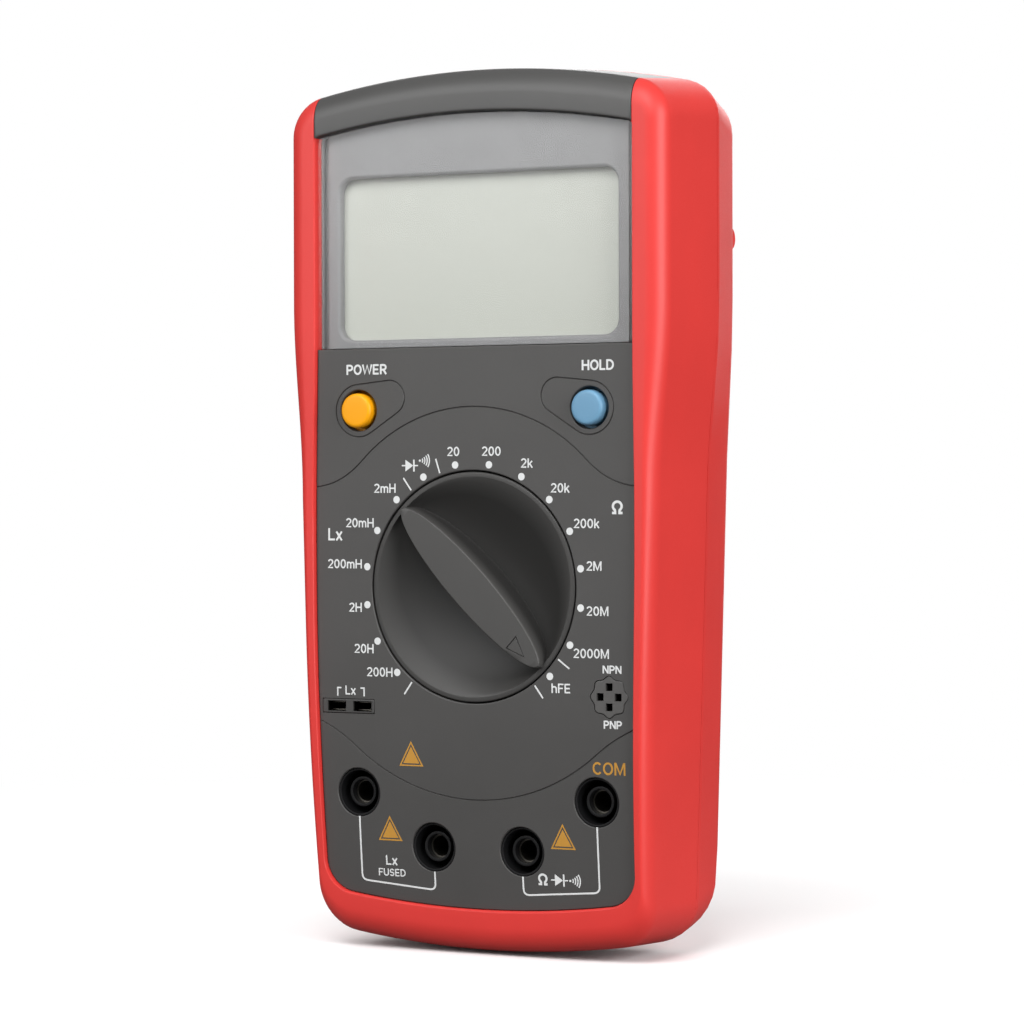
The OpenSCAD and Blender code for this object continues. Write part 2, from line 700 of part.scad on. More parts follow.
// Chip body with gull-wing leads along two or four sides, lying on the back of the board
module chip(xz, w, h, t, leads, four) {
  y0 = y_board_back + 0.15;
  block(xz[0] - w / 2, xz[0] + w / 2, y0, y0 + t, xz[1] - h / 2, xz[1] + h / 2);
  pitch = (h - 1) / leads;
  for (i = [0:leads - 1], s = [-1, 1]) {
    z = xz[1] + (i - (leads - 1) / 2) * pitch;
    block(xz[0] + min(s * (w / 2 - 0.2), s * (w / 2 + 1)), xz[0] + max(s * (w / 2 - 0.2), s * (w / 2 + 1)),
          y_board_back + 0.02, y0 + 0.35, z - pitch / 4, z + pitch / 4);
    if (four) {
      x = xz[0] + (i - (leads - 1) / 2) * pitch;
      z0 = min(s * (h / 2 - 0.2), s * (h / 2 + 1));
      block(x - pitch / 4, x + pitch / 4, y_board_back + 0.02, y0 + 0.35, xz[1] + z0, xz[1] + z0 + 1.2);
    }
  }
}
module board_chips() {
  color("#222222") {
    chip([0, 134], 14, 14, 2.2, 10, true);
    chip([-18, 118], 4, 9, 1.6, 7, false);
    chip([18, 118], 4, 9, 1.6, 7, false);
  }
}
module board_capacitors() {
  color("#34506e") for (c = [[-24, 100, 4, 9], [-24, 140, 3.2, 7], [24, 140, 3.2, 7], [12, 100, 2.5, 6]])
    turned_y([c[0], c[1]], [[0, y_board_back + 0.02], [c[2], y_board_back + 0.02],
      [c[2], y_board_back + 0.8], [c[2] - 0.3, y_board_back + 1.1], [c[2], y_board_back + 1.4],
      [c[2], y_board_back + c[3]], [0, y_board_back + c[3]]]);
}
module crystal() {
  color("silver") {
    rounded_prism([-5.5, 147, 5.5, 151.6], 2.2, y_board_back + 0.42, y_board_back + 3.6);
    rounded_prism([-6, 146.5, 6, 152.1], 2.4, y_board_back + 0.02, y_board_back + 0.42);
  }
}
module trimmer() {
  color("#2f6fb0")
  difference() {
    block(-3.2, 3.2, y_board_back + 0.02, y_board_back + 4.6, 106, 112.4);
    block(-1.6, 1.6, y_board_back + 4, y_board_back + 5, 108.9, 109.5);
  }
}
fuse_xz = [-18, 80];
y_fuse = y_board_back + 4;
module fuse() {
  color("#cfd8dc") {
    bar_x(y_fuse, fuse_xz[1], 2.3, fuse_xz[0] - 7, fuse_xz[0] + 7);
    for (s = [-1, 1])
      bar_x(y_fuse, fuse_xz[1], 2.6, fuse_xz[0] + s * 8.4 - 1.6, fuse_xz[0] + s * 8.4 + 1.6);
  }
}
module fuse_clips() {
  color("#b9bcc0") for (s = [-1, 1]) difference() {
    block(fuse_xz[0] + s * 8.4 - 1.4, fuse_xz[0] + s * 8.4 + 1.4, y_board_back + 0.02, y_fuse + 1.2,
          fuse_xz[1] - 3.1, fuse_xz[1] + 3.1);
    bar_x(y_fuse, fuse_xz[1], 2.65, fuse_xz[0] + s * 8.4 - 2, fuse_xz[0] + s * 8.4 + 2);
    block(fuse_xz[0] + s * 8.4 - 2, fuse_xz[0] + s * 8.4 + 2, y_fuse, y_fuse + 3,
          fuse_xz[1] - 2.3, fuse_xz[1] + 2.3);
  }
}
buzzer_xz = [20, 86];
module buzzer() {
  color("#1b1b1c")
  difference() {
    disc_y(buzzer_xz, 6, y_board_back + 0.02, y_board_back + 5.5);
    disc_y(buzzer_xz, 1, y_board_back + 4, y_board_back + 7);
  }
}
module shield_plate() {
  color("#b7babd") block(-24, 24, stand_floor - 2.45, stand_floor - 2.05, 112, 132);
}

// ---- Battery ----

battery_y = [bay_front + 0.4, bay_front + 17.9];
battery_z = [39, 65.5];
module battery() {
  color("#c79a3a") {
    rounded_box_x(-26.6, 19.8, battery_y, battery_z, 1.5);
    bar_x(bay_front + 9, 58.6, 2.8, 19.8, 22.2);
    bar_x(bay_front + 9, 45.9, 4, 19.8, 22.2);
  }
}
// Box along x with four rounded long edges
module rounded_box_x(x0, x1, ys, zs, r) {
  block(x0, x1, ys[0] + r, ys[1] - r, zs[0], zs[1]);
  block(x0, x1, ys[0], ys[1], zs[0] + r, zs[1] - r);
  for (y = [ys[0] + r, ys[1] - r], z = [zs[0] + r, zs[1] - r]) bar_x(y, z, r, x0, x1);
}
module battery_snap() {
  color("#222222")
  difference() {
    rounded_box_x(20, 24.4, [bay_front + 3.5, bay_front + 14.5], [40, 64.5], 2);
    bar_x(bay_front + 9, 58.6, 2.9, 19, 22.3);
    bar_x(bay_front + 9, 45.9, 4.1, 19, 22.3);
  }
}
// Wire through points: a rod on each stretch and a slightly fatter ball at each turn
module wire(pts, r) {
  for (i = [0:len(pts) - 2]) {
    v = pts[i + 1] - pts[i];
    translate(pts[i]) rotate([0, acos(v[2] / norm(v)), atan2(v[1], v[0])]) cylinder(r = r, h = norm(v));
  }
  for (i = [1:len(pts) - 2]) translate(pts[i]) sphere(r = r * 1.12);
}
module battery_leads() {
  y0 = bay_front + 4.7;
  for (k = [0, 1]) {
    x = 25.2 + 1.2 * k;
    z = 60 - 16 * k;
    color(k == 0 ? "#b3262a" : "#202020")
      wire([[24.95, y0, z], [x, y0, z + 2.5], [x, y0, 71], [x, y_board_back + 0.2, 75 + 2 * k]], 0.5);
  }
}

front_shell();
front_panel();
top_band();
rear_cover();
tilt_stand();
rear_feet();
battery_door();
battery_door_screw();
case_screws();
display_lens();
display_mask();
lcd_glass();
lcd_frame();
zebra_strips();
selector_knob();
knob_rotor();
knob_wipers();
detent_ring();
detent_balls();
detent_springs();
power_button();
hold_button();
power_plunger();
hold_plunger();
power_switch();
hold_switch();
jack_tubes();
jack_contacts();
transistor_socket();
socket_contacts();
slot_insert();
slot_contacts();
circuit_board();
board_screws();
board_chips();
board_capacitors();
crystal();
trimmer();
fuse();
fuse_clips();
buzzer();
shield_plate();
battery();
battery_snap();
battery_leads();
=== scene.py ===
import json
import math

import bmesh
import bpy
from mathutils import Matrix, Vector


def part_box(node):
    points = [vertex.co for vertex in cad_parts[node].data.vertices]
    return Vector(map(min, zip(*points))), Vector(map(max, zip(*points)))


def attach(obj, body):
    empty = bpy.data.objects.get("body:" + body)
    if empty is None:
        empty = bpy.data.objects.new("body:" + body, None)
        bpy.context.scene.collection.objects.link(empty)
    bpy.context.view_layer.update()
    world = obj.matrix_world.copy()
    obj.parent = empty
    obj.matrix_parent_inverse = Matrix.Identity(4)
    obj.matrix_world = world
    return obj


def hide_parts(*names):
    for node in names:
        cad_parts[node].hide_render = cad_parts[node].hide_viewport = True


# Looks of a handheld component tester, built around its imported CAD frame.
# Sizes are in millimetres and become metres when a mesh is made. +Z is up, the printed
# face looks towards -Y, and x = 0 is the plane of symmetry. Y_ names a depth, _HW a half
# width, _R a radius and _XZ a place on the face.

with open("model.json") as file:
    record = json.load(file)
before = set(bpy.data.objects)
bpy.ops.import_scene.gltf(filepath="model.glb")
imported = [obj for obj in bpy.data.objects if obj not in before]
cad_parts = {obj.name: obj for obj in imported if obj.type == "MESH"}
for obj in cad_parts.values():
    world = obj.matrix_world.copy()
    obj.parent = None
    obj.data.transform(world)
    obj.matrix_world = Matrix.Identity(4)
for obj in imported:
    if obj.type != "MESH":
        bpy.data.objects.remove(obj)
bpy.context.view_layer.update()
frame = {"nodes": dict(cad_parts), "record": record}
MM = 0.001
WELD = 0.002 * MM


# -------- places taken from the frame

def corners(node):
    low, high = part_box(node)
    return low / MM, high / MM


def middle_xz(node):
    low, high = corners(node)
    return (low.x + high.x) / 2, (low.z + high.z) / 2


def mount_xz(name):
    pos = next(m for m in frame["record"]["mounts"] if m["name"] == name)["pos_m"]
    return pos[0] / MM, pos[2] / MM


Y_CROWN = corners("selector_knob")[0].y
Y_FACE = corners("front_panel")[0].y
Y_BEZEL = corners("front_shell")[0].y
Y_RIDGE = corners("front_shell")[1].y
Y_BOARD = corners("circuit_board")[0].y
CASE_H = corners("front_shell")[1].z
SHOULDER_HW = corners("front_shell")[1].x
PANEL_LOW = corners("front_panel")[0].z - 0.1
PANEL_TOP = corners("display_lens")[1].z + 0.1
WINDOW_LOW = corners("display_lens")[0].z - 0.1
BAND_HW = corners("top_band")[1].x + 0.05
BAND_LOW = corners("top_band")[0].z - 0.1
KNOB_XZ = middle_xz("selector_knob")
FLANGE_R = corners("selector_knob")[1].x
BUTTON_XZ = {"power": middle_xz("power_button"), "hold": middle_xz("hold_button")}
JACK_XZ = [mount_xz(m["name"]) for m in frame["record"]["mounts"] if m["name"].startswith("jack_")]
SOCKET_XZ = middle_xz("transistor_socket")

# The case's own shape: half widths, bows of its ends, and the bend of the lower face
WAIST_HW = 39.3
FOOT_HW = 36.6
WAIST_Z = 88
SHOULDER_Z = 126
BOTTOM_BOW = 200
TOP_BOW = 175
BEND_Z = 63
BEND_R = 500
WALL = 2.2
GAP = 0.1
PANEL_T = 2.4
LEDGE_DEPTH = 3.5
LEDGE_T = 1.3
KNOB_POINTER = 135
KNOB_HOLE_R = 22.4
PANEL_FOOT_HW = 33.9
PANEL_SPREAD = 1.2
PANEL_TUCK = 0.4
KNOB_R = KNOB_HOLE_R - 0.3
BUTTON_R = 3.35
BUTTON_HOLE_R = 4
JACK_R = 4.7
JACK_TUBE_R = 2.95
JACK_BORE_R = 2.35


def ease(t):
    """Smooth step from 0 to 1."""
    t = min(1, max(0, t))
    return t * t * (3 - 2 * t)


def swell(z):
    """How far the case has widened at a height, from 0 at the waist to 1 at the shoulders."""
    return ease((z - WAIST_Z) / (SHOULDER_Z - WAIST_Z))


def case_hw(z):
    taper = FOOT_HW + (WAIST_HW - FOOT_HW) * min(z, WAIST_Z) / WAIST_Z
    return taper + (SHOULDER_HW - WAIST_HW) * swell(z)


def panel_hw(z):
    return PANEL_FOOT_HW + PANEL_SPREAD * ease(z / 80) - PANEL_TUCK * ease((z - 85) / 35)


def bend(z):
    """How far the face leans back at a height. It is flat above BEND_Z."""
    return BEND_R - math.sqrt(BEND_R ** 2 - (BEND_Z - z) ** 2) if z < BEND_Z else 0


def face_y(z):
    return Y_FACE + bend(z)


# -------- outlines, as [x, z] points

def bowl(cx, cz, rx, rz, start, end, steps=14):
    """Points on an ellipse from one angle to another, in degrees anticlockwise from +x."""
    angles = [math.radians(start + (end - start) * i / steps) for i in range(steps + 1)]
    return [(cx + rx * math.cos(a), cz + rz * math.sin(a)) for a in angles]


def arc(cx, cz, r, start, end, steps):
    return bowl(cx, cz, r, r, start, end, steps)


BOW_STEPS = 14
CORNER_STEPS = 14
SIDE_STEPS = 56


def outline(width, d, low, top, r_low, r_top):
    """Closed outline inset by d: bowed ends, round corners, and sides that follow width(z)."""
    r1 = max(r_low - d, 0.4)
    r2 = max(r_top - d, 0.4)
    x1 = width(low + d + r1 + 2) - d - r1
    x2 = width(top - d - r2 - 3) - d - r2
    a1 = math.degrees(math.asin(x1 / (BOTTOM_BOW - r1)))
    a2 = math.degrees(math.asin(x2 / (TOP_BOW - r2)))
    z1 = low + d + BOTTOM_BOW - (BOTTOM_BOW - r1) * math.cos(math.radians(a1))
    z2 = top - d - TOP_BOW + (TOP_BOW - r2) * math.cos(math.radians(a2))
    half = arc(0, low + d + BOTTOM_BOW, BOTTOM_BOW, -90, -90 + a1, BOW_STEPS)[:-1]
    half += arc(x1, z1, r1, -90 + a1, 0, CORNER_STEPS)
    levels = [z1 + (z2 - z1) * i / SIDE_STEPS for i in range(1, SIDE_STEPS)]
    half += [(width(z) - d, z) for z in levels]
    half += arc(x2, z2, r2, 0, 90 - a2, CORNER_STEPS)
    half += arc(0, top - d - TOP_BOW, TOP_BOW, 90 - a2, 90, BOW_STEPS)[1:]
    return half + [(-x, z) for x, z in half[-2:0:-1]]


def case_outline(d):
    return outline(case_hw, d, 0, CASE_H, 9, 8)


def panel_outline(d):
    return outline(panel_hw, d, PANEL_LOW, PANEL_TOP, 6.5, 1)


def clip(points, level, keep_below):
    """Part of a closed outline below or above a level."""
    kept = []
    for (xa, za), (xb, zb) in zip(points, points[1:] + points[:1]):
        inside_a = (za < level) == keep_below
        inside_b = (zb < level) == keep_below
        if inside_a:
            kept.append((xa, za))
        if inside_a != inside_b:
            t = (level - za) / (zb - za)
            kept.append((xa + t * (xb - xa), level))
    return kept


def inset(points, d):
    """Closed anticlockwise outline moved inwards by d."""
    moved = []
    n = len(points)
    for i, (x, z) in enumerate(points):
        before = Vector(points[i]) - Vector(points[i - 1])
        after = Vector(points[(i + 1) % n]) - Vector(points[i])
        before.normalize()
        after.normalize()
        normal = Vector((-(before.y + after.y), before.x + after.x))
        normal /= max(normal.length_squared / 2, 0.5)
        moved.append((x + normal.x * d, z + normal.y * d))
    return moved


def rounded_box(x0, z0, x1, z1, r, steps=8):
    centres = ((x1 - r, z1 - r), (x0 + r, z1 - r), (x0 + r, z0 + r), (x1 - r, z0 + r))
    points = []
    for corner, (cx, cz) in enumerate(centres):
        points += arc(cx, cz, r, 90 * corner, 90 * corner + 90, steps)
    return points


def mix(a, b, f):
    return [(xa + (xb - xa) * f, za + (zb - za) * f) for (xa, za), (xb, zb) in zip(a, b)]


def curve(p0, p1, p2, p3, steps=12):
    """Points along a cubic curve."""
    controls = (p0, p1, p2, p3)
    points = []
    for i in range(steps + 1):
        t = i / steps
        u = 1 - t
        weights = (u ** 3, 3 * u * u * t, 3 * u * t * t, t ** 3)
        points.append(tuple(sum(w * p[k] for w, p in zip(weights, controls)) for k in (0, 1)))
    return points


# -------- solids, as (points, faces)

def ring(points, y, bent=0):
    """Outline set at a depth, and leaned back with the face where bent is 1."""
    return [(x, y + bent * bend(z), z) for x, z in points]


def loft(rings, tyre=False):
    """Skin through rings of equal length, capped at both ends or closed like a tyre."""
    n, m = len(rings[0]), len(rings)
    faces = []
    for k in range(m if tyre else m - 1):
        u = (k + 1) % m
        faces += [(k * n + i, k * n + (i + 1) % n, u * n + (i + 1) % n, u * n + i) for i in range(n)]
    if not tyre:
        faces += [tuple(range(n))[::-1], tuple((m - 1) * n + i for i in range(n))]
    return [p for r in rings for p in r], faces


def quarter_turn(steps):
    """How far a rounded edge is short of its wall and behind its flat, in units of its radius."""
    angles = [math.pi / 2 * i / steps for i in range(steps + 1)]
    return [(1 - math.sin(a), 1 - math.cos(a)) for a in angles]


def lathe(centre, profile, steps=96, tyre=False):
    """Solid turned about the y axis through centre, from (radius, y) points."""
    cx, cz = centre
    return loft([ring(arc(cx, cz, r, 0, 360 - 360 / steps, steps - 1), y) for r, y in profile], tyre)


def slab(points, y0, y1, soft):
    """Plate between two depths with a rounded front edge."""
    rings = [ring(inset(points, soft * out), y0 + soft * back) for out, back in quarter_turn(3)]
    return loft(rings + [ring(points, y1)])


def rim(r, y, soft, outward, steps=4):
    """(radius, y) points of a rounded rim whose flat is at y and whose wall is at r."""
    return [(r - outward * soft * out, y + soft * back) for out, back in quarter_turn(steps)]


def block(x0, x1, y0, y1, z0, z1):
    square = [(x0, z0), (x1, z0), (x1, z1), (x0, z1)]
    return loft([ring(square, y0), ring(square, y1)])


def stroke(path, half_width, y0, y1, bent=0, closed=False):
    """Ribbon of even width along a path of [x, z] points, between two depths."""
    left, right = [], []
    n = len(path)
    for i, (x, z) in enumerate(path):
        here = Vector((x, z))
        before = Vector(path[i - 1 if closed else max(i - 1, 0)])
        after = Vector(path[(i + 1) % n if closed else min(i + 1, n - 1)])
        a = (here - before).normalized() if here != before else (after - here).normalized()
        b = (after - here).normalized() if here != after else a
        normal = Vector((-(a.y + b.y), a.x + b.x))
        normal *= half_width / max(normal.length_squared / 2, 0.5)
        left.append(here + normal)
        right.append(here - normal)
    depth = y1 - y0
    sections = []
    for p, q in zip(left, right):
        p_y = y0 + bent * bend(p.y)
        q_y = y0 + bent * bend(q.y)
        sections.append([(p.x, p_y, p.y), (q.x, q_y, q.y), (q.x, q_y + depth, q.y), (p.x, p_y + depth, p.y)])
    return loft(sections, closed)


def groove(path, half_width, depth, closed=False):
    """Cutter with a V section for a groove along a path on the flat face."""
    points = stroke(path, half_width * 1.5, Y_FACE - depth / 2, Y_FACE, closed=closed)[0]
    vees = []
    for i in range(0, len(points), 4):
        left, right = points[i:i + 2]
        bottom = ((left[0] + right[0]) / 2, Y_FACE + depth, (left[2] + right[2]) / 2)
        vees.append([left, right, bottom])
    return loft(vees, closed)


# -------- objects

def build(name, *solids):
    """Object made of one or more (points, faces) solids."""
    points, faces = [], []
    for more_points, more_faces in solids:
        start = len(points)
        points += more_points
        faces += [tuple(start + i for i in face) for face in more_faces]
    mesh = bpy.data.meshes.new(name)
    mesh.from_pydata([(x * MM, y * MM, z * MM) for x, y, z in points], [], faces)
    bm = bmesh.new()
    bm.from_mesh(mesh)
    bmesh.ops.recalc_face_normals(bm, faces=bm.faces)
    bm.to_mesh(mesh)
    bm.free()
    piece = bpy.data.objects.new(name, mesh)
    bpy.context.scene.collection.objects.link(piece)
    return piece


def combine(piece, operation, *tools):
    """Boolean of piece with each tool, applied to its mesh."""
    for tool in tools:
        modifier = piece.modifiers.new("combine", "BOOLEAN")
        modifier.operation = operation
        modifier.solver = "MANIFOLD"
        modifier.object = tool
        graph = bpy.context.evaluated_depsgraph_get()
        mesh = bpy.data.meshes.new_from_object(piece.evaluated_get(graph))
        piece.modifiers.clear()
        piece.data = mesh
        bpy.data.objects.remove(tool)
    return piece


def cut(piece, *solids):
    return combine(piece, "DIFFERENCE", *[build("tool", s) for s in solids])


def join(piece, *solids):
    return combine(piece, "UNION", *[build("tool", s) for s in solids])


def soften(piece, width, chosen):
    """Rounds the sharp edges whose middle point, in millimetres, is chosen."""
    least_angle = math.radians(30)
    bm = bmesh.new()
    bm.from_mesh(piece.data)
    bmesh.ops.remove_doubles(bm, verts=bm.verts, dist=WELD)
    edges = []
    for edge in bm.edges:
        centre = (edge.verts[0].co + edge.verts[1].co) / 2 / MM
        if edge.is_manifold and edge.calc_face_angle(0) > least_angle and chosen(centre):
            edges.append(edge)
    bmesh.ops.bevel(bm, geom=edges, offset=width * MM, segments=2, profile=0.5, affect="EDGES",
                    clamp_overlap=True)
    bm.to_mesh(piece.data)
    bm.free()
    return piece


def place(piece, body, slot, *nodes, look=None, sharp=35):
    """Gives a piece its material, its shading and its body, and hides the nodes it stands for.

    The material is the record's slot, or look where a piece differs from its slot or has none.
    """
    piece.data.materials.clear()
    piece.data.materials.append(bpy.data.materials[look or slot])
    piece.data.shade_smooth()
    piece.data.set_sharp_from_angle(angle=math.radians(sharp))
    weighted = piece.modifiers.new("weighted_normal", "WEIGHTED_NORMAL")
    weighted.keep_sharp = True
    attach(piece, body)
    if nodes:
        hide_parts(*nodes)
    return piece


def smooth_copy(name, node, body, slot):
    """Copy of a CAD node that stands for it, with flat areas merged and curves shaded smooth."""
    mesh = frame["nodes"][node].data.copy()
    bm = bmesh.new()
    bm.from_mesh(mesh)
    bmesh.ops.remove_doubles(bm, verts=bm.verts, dist=WELD)
    bmesh.ops.dissolve_degenerate(bm, edges=bm.edges, dist=WELD)
    bmesh.ops.dissolve_limit(bm, verts=bm.verts, edges=bm.edges, angle_limit=math.radians(0.5))
    bm.to_mesh(mesh)
    bm.free()
    piece = bpy.data.objects.new(name, mesh)
    bpy.context.scene.collection.objects.link(piece)
    return place(piece, body, slot, node, sharp=22)


# -------- case

def front_skin():
    """Front half of the case, before it is split into the red frame and the top band."""
    side = case_outline(0)
    shoulder = outline(lambda z: case_hw(z) - 0.35, 0, 0.6, CASE_H - 1.6, 8.6, 8)
    edge = panel_outline(0)
    ledge = panel_outline(1.5)
    fillet = 4
    y_side = Y_BEZEL + fillet
    y_ledge = Y_FACE + LEDGE_DEPTH
    fillet_share = 0.6
    fillet_steps = 10
    rings = [ring(side, Y_RIDGE), ring(side, Y_RIDGE - 1), ring(shoulder, y_side, 1)]
    for i in range(1, fillet_steps + 1):
        a = math.pi / 2 * i / fillet_steps
        share = fillet_share * (1 - math.cos(a))
        rings.append(ring(mix(shoulder, edge, share), y_side - fillet * math.sin(a), 1))
    for share, drop in ((0.94, 0), (0.975, 0.1), (1, 0.4)):
        rings.append(ring(mix(shoulder, edge, share), Y_BEZEL + drop, 1))
    rings += [ring(edge, y_ledge, 1), ring(ledge, y_ledge, 1), ring(ledge, y_ledge + LEDGE_T, 1),
              ring(case_outline(WALL + 0.4), y_ledge + LEDGE_T, 1), ring(case_outline(WALL), Y_RIDGE - 2),
              ring(case_outline(WALL / 2), Y_RIDGE - 2), ring(case_outline(WALL / 2), Y_RIDGE)]
    return loft(rings, tyre=True)


def front_case():
    """Red frame and top band, split from the same skin with a fine seam between them."""
    seam = 0.08
    frame_hw = BAND_HW + seam
    band_hw = BAND_HW - seam
    y_front = Y_BEZEL - 1
    y_band = 0.9
    near = 0.02
    shell = build("red_front_frame", front_skin())
    cut(shell, block(-frame_hw, frame_hw, y_front, y_band + GAP, BAND_LOW, CASE_H + 1))
    soften(shell, 0.35, lambda p: (abs(abs(p.x) - frame_hw) < near and p.z > BAND_LOW - near
                                   and p.y < y_band))
    place(shell, "case", "red_case", "front_shell")
    band = build("grey_top_band", front_skin())
    kept = block(-band_hw, band_hw, y_front, y_band, BAND_LOW + GAP, CASE_H + 1)
    combine(band, "INTERSECT", build("tool", kept))
    soften(band, 0.2, lambda p: abs(abs(p.x) - band_hw) < near)
    place(band, "case", "band_grey", "top_band")


# -------- face

SLOT_LOW, SLOT_HIGH = corners("slot_insert")
SLOT_BOX = (SLOT_LOW.x, SLOT_LOW.z, SLOT_HIGH.x, SLOT_HIGH.z)
SCALLOP_R = 3.72
GROOVE_W = 0.16
GROOVE_DEPTH = 0.22


def mirrored(path):
    """Path on the other side of the dial, in the opposite order."""
    return [(2 * KNOB_XZ[0] - x, z) for x, z in path[::-1]]


def dial_groove():
    """Wide arch over the dial that runs out to both sides of the face."""
    r, reach, level = 34.6, 36.5, 90.2
    cx, cz = KNOB_XZ
    top = arc(cx, cz, r, 45, 135, 60)
    x, z = top[0]
    right = curve((reach, level), (reach - 5, level), (x + 3.3, z - 3.3), (x, z))
    return right[:-1] + top + mirrored(right)[1:]


def jack_groove():
    """Wide arch under the dial that flares to both sides of the face."""
    r, reach, level = 41, 36.5, 45.4
    cx, cz = KNOB_XZ
    low = arc(cx, cz, r, 230, 310, 60)
    x, z = low[-1]
    right = curve((x, z), (x + 3.4, z + 2.85), (reach - 3, level - 1.1), (reach, level))
    return mirrored(right)[:-1] + low + right[1:]


def teardrop(side, centre):
    """Outline round a button: a wide circle and a smaller one nearer the middle."""
    r1, r2 = 5.1, 3.4
    small_x, small_z = 18.4, 107.5
    a, b = Vector(centre), Vector((side * small_x, small_z))
    along = b - a
    lean = math.degrees(math.atan2(along.y, along.x))
    open_angle = math.degrees(math.acos((r1 - r2) / along.length))
    path = arc(b.x, b.y, r2, lean - open_angle, lean + open_angle, 24)
    return path + arc(a.x, a.y, r1, lean + open_angle, lean + 360 - open_angle, 40)


def flared_hole(centre, r, soft):
    """Cutter for a round hole whose rim on the face is rounded."""
    profile = [(r + soft, Y_FACE - 1)] + rim(r, Y_FACE, soft, -1) + [(r, Y_FACE + 8)]
    return lathe(centre, profile, steps=120)


def scallop(r):
    """Outline of the transistor socket: a circle with eight shallow waves."""
    steps, waves, depth = 96, 8, 0.25
    cx, cz = SOCKET_XZ
    points = []
    for i in range(steps):
        a = 2 * math.pi * i / steps
        wavy = r + depth * math.cos(waves * a)
        points.append((cx + wavy * math.cos(a), cz + wavy * math.sin(a)))
    return points


def face_plate():
    points = clip(panel_outline(GAP), WINDOW_LOW - GAP / 2, True)
    plate = build("face_plate", slab(points, Y_FACE, Y_FACE + PANEL_T, soft=0.2))
    cut(plate, flared_hole(KNOB_XZ, KNOB_HOLE_R, 0.25))
    for centre in BUTTON_XZ.values():
        cut(plate, flared_hole(centre, BUTTON_HOLE_R, 0.25))
    for centre in JACK_XZ:
        cut(plate, flared_hole(centre, JACK_R + 0.05, 0.2))
    x0, z0, x1, z1 = SLOT_BOX
    cut(plate, loft([ring(scallop(SCALLOP_R + GAP), Y_FACE - 1), ring(scallop(SCALLOP_R + GAP), Y_FACE + 5)]),
        block(x0 - GAP, x1 + GAP, Y_FACE - 1, Y_FACE + 5, z0 - GAP, z1 + GAP))
    for path in (dial_groove(), jack_groove()):
        cut(plate, groove(path, GROOVE_W, GROOVE_DEPTH))
    for side, name in ((-1, "power"), (1, "hold")):
        cut(plate, groove(teardrop(side, BUTTON_XZ[name]), GROOVE_W, GROOVE_DEPTH, closed=True))
    bend_plate(plate)
    return place(plate, "case", "dark_panel", "front_panel", sharp=25)


def bend_plate(piece):
    """Slices the lower part of a flat piece into strips and curves it back."""
    bm = bmesh.new()
    bm.from_mesh(piece.data)
    strip = 3
    for i in range(1, int(BEND_Z / strip) + 1):
        everything = bm.verts[:] + bm.edges[:] + bm.faces[:]
        bmesh.ops.bisect_plane(bm, geom=everything, dist=1e-7, plane_co=(0, 0, i * strip * MM),
                               plane_no=(0, 0, 1))
    for vertex in bm.verts:
        vertex.co.y += bend(vertex.co.z / MM) * MM
    bm.to_mesh(piece.data)
    bm.free()


def socket_head():
    """Scalloped insert on a round stem, with four square holes that widen inside."""
    stem_r, hole_at, hole_hw, inner_hw = 3.3, 1.9, 0.73, 0.9
    y0 = face_y(SOCKET_XZ[1])
    cx, cz = SOCKET_XZ
    head = build("transistor_socket_head", slab(scallop(SCALLOP_R), y0, Y_FACE + PANEL_T + 1, soft=0.22))
    join(head, lathe(SOCKET_XZ, [(stem_r, Y_FACE + PANEL_T + 0.5), (stem_r, Y_BOARD - 0.05)], 64))
    for dx, dz in ((0, 1), (1, 0), (0, -1), (-1, 0)):
        x, z = cx + hole_at * dx, cz + hole_at * dz
        cut(head, block(x - hole_hw, x + hole_hw, y0 - 1, y0 + 2, z - hole_hw, z + hole_hw),
            block(x - inner_hw, x + inner_hw, y0 + 1.2, Y_BOARD - 0.6, z - inner_hw, z + inner_hw))
    # Its look paints the holes nearly black with depth, as painted shade
    return place(head, "case", "dark_panel", "transistor_socket", look="socket_grey", sharp=30)


def slot_frame():
    """Frame with two lead slots, standing a little proud of the face, and its body down to the board."""
    proud, body_left, slot_w, slot_margin = 0.12, -32.9, 4.2, 0.35
    x0, z0, x1, z1 = SLOT_BOX
    y0 = face_y((z0 + z1) / 2)
    bar = build("lead_slot_frame", slab(rounded_box(x0, z0, x1, z1, 0.3, 3), y0 - proud, y0 + 2.2, soft=0.15))
    join(bar, block(body_left, x1 - 0.2, y0 + 2, Y_BOARD - 0.05, z0 + 0.05, z1 - 0.05))
    for left in (x0 + 1.1, x1 - 4.7):
        cut(bar, block(left, left + slot_w, y0 - 1, Y_BOARD - 0.5, z0 + slot_margin, z1 - slot_margin))
    # Its look paints the slots nearly black with depth, as painted shade
    return place(bar, "case", "black_plastic", "slot_insert", look="slot_black", sharp=30)


def jack_cups():
    """Black cups behind the face's round holes, each with a narrower tube inside."""
    collar_r = 5.9
    inner_r = JACK_R - 0.45
    back = corners("jack_tubes")[1].y
    cups = []
    for x, z in JACK_XZ:
        cup_front = face_y(z) + 0.35
        tube_front = face_y(z) + 1.65
        collar_front = face_y(z) + PANEL_T + 0.7
        profile = [(JACK_BORE_R, back)]
        profile += rim(JACK_BORE_R, tube_front, 0.12, -1)[::-1]
        profile += rim(JACK_TUBE_R, tube_front, 0.12, 1)
        profile += [(JACK_TUBE_R, back - 2.5), (inner_r, back - 2.5)]
        profile += rim(inner_r, cup_front, 0.1, -1)[::-1]
        profile += rim(JACK_R, cup_front, 0.1, 1)
        profile += [(JACK_R, collar_front), (collar_r, collar_front), (collar_r, back)]
        cups.append(lathe((x, z), profile, 96, tyre=True))
    return place(build("jack_cups", *cups), "case", "black_plastic", "jack_tubes", sharp=40)


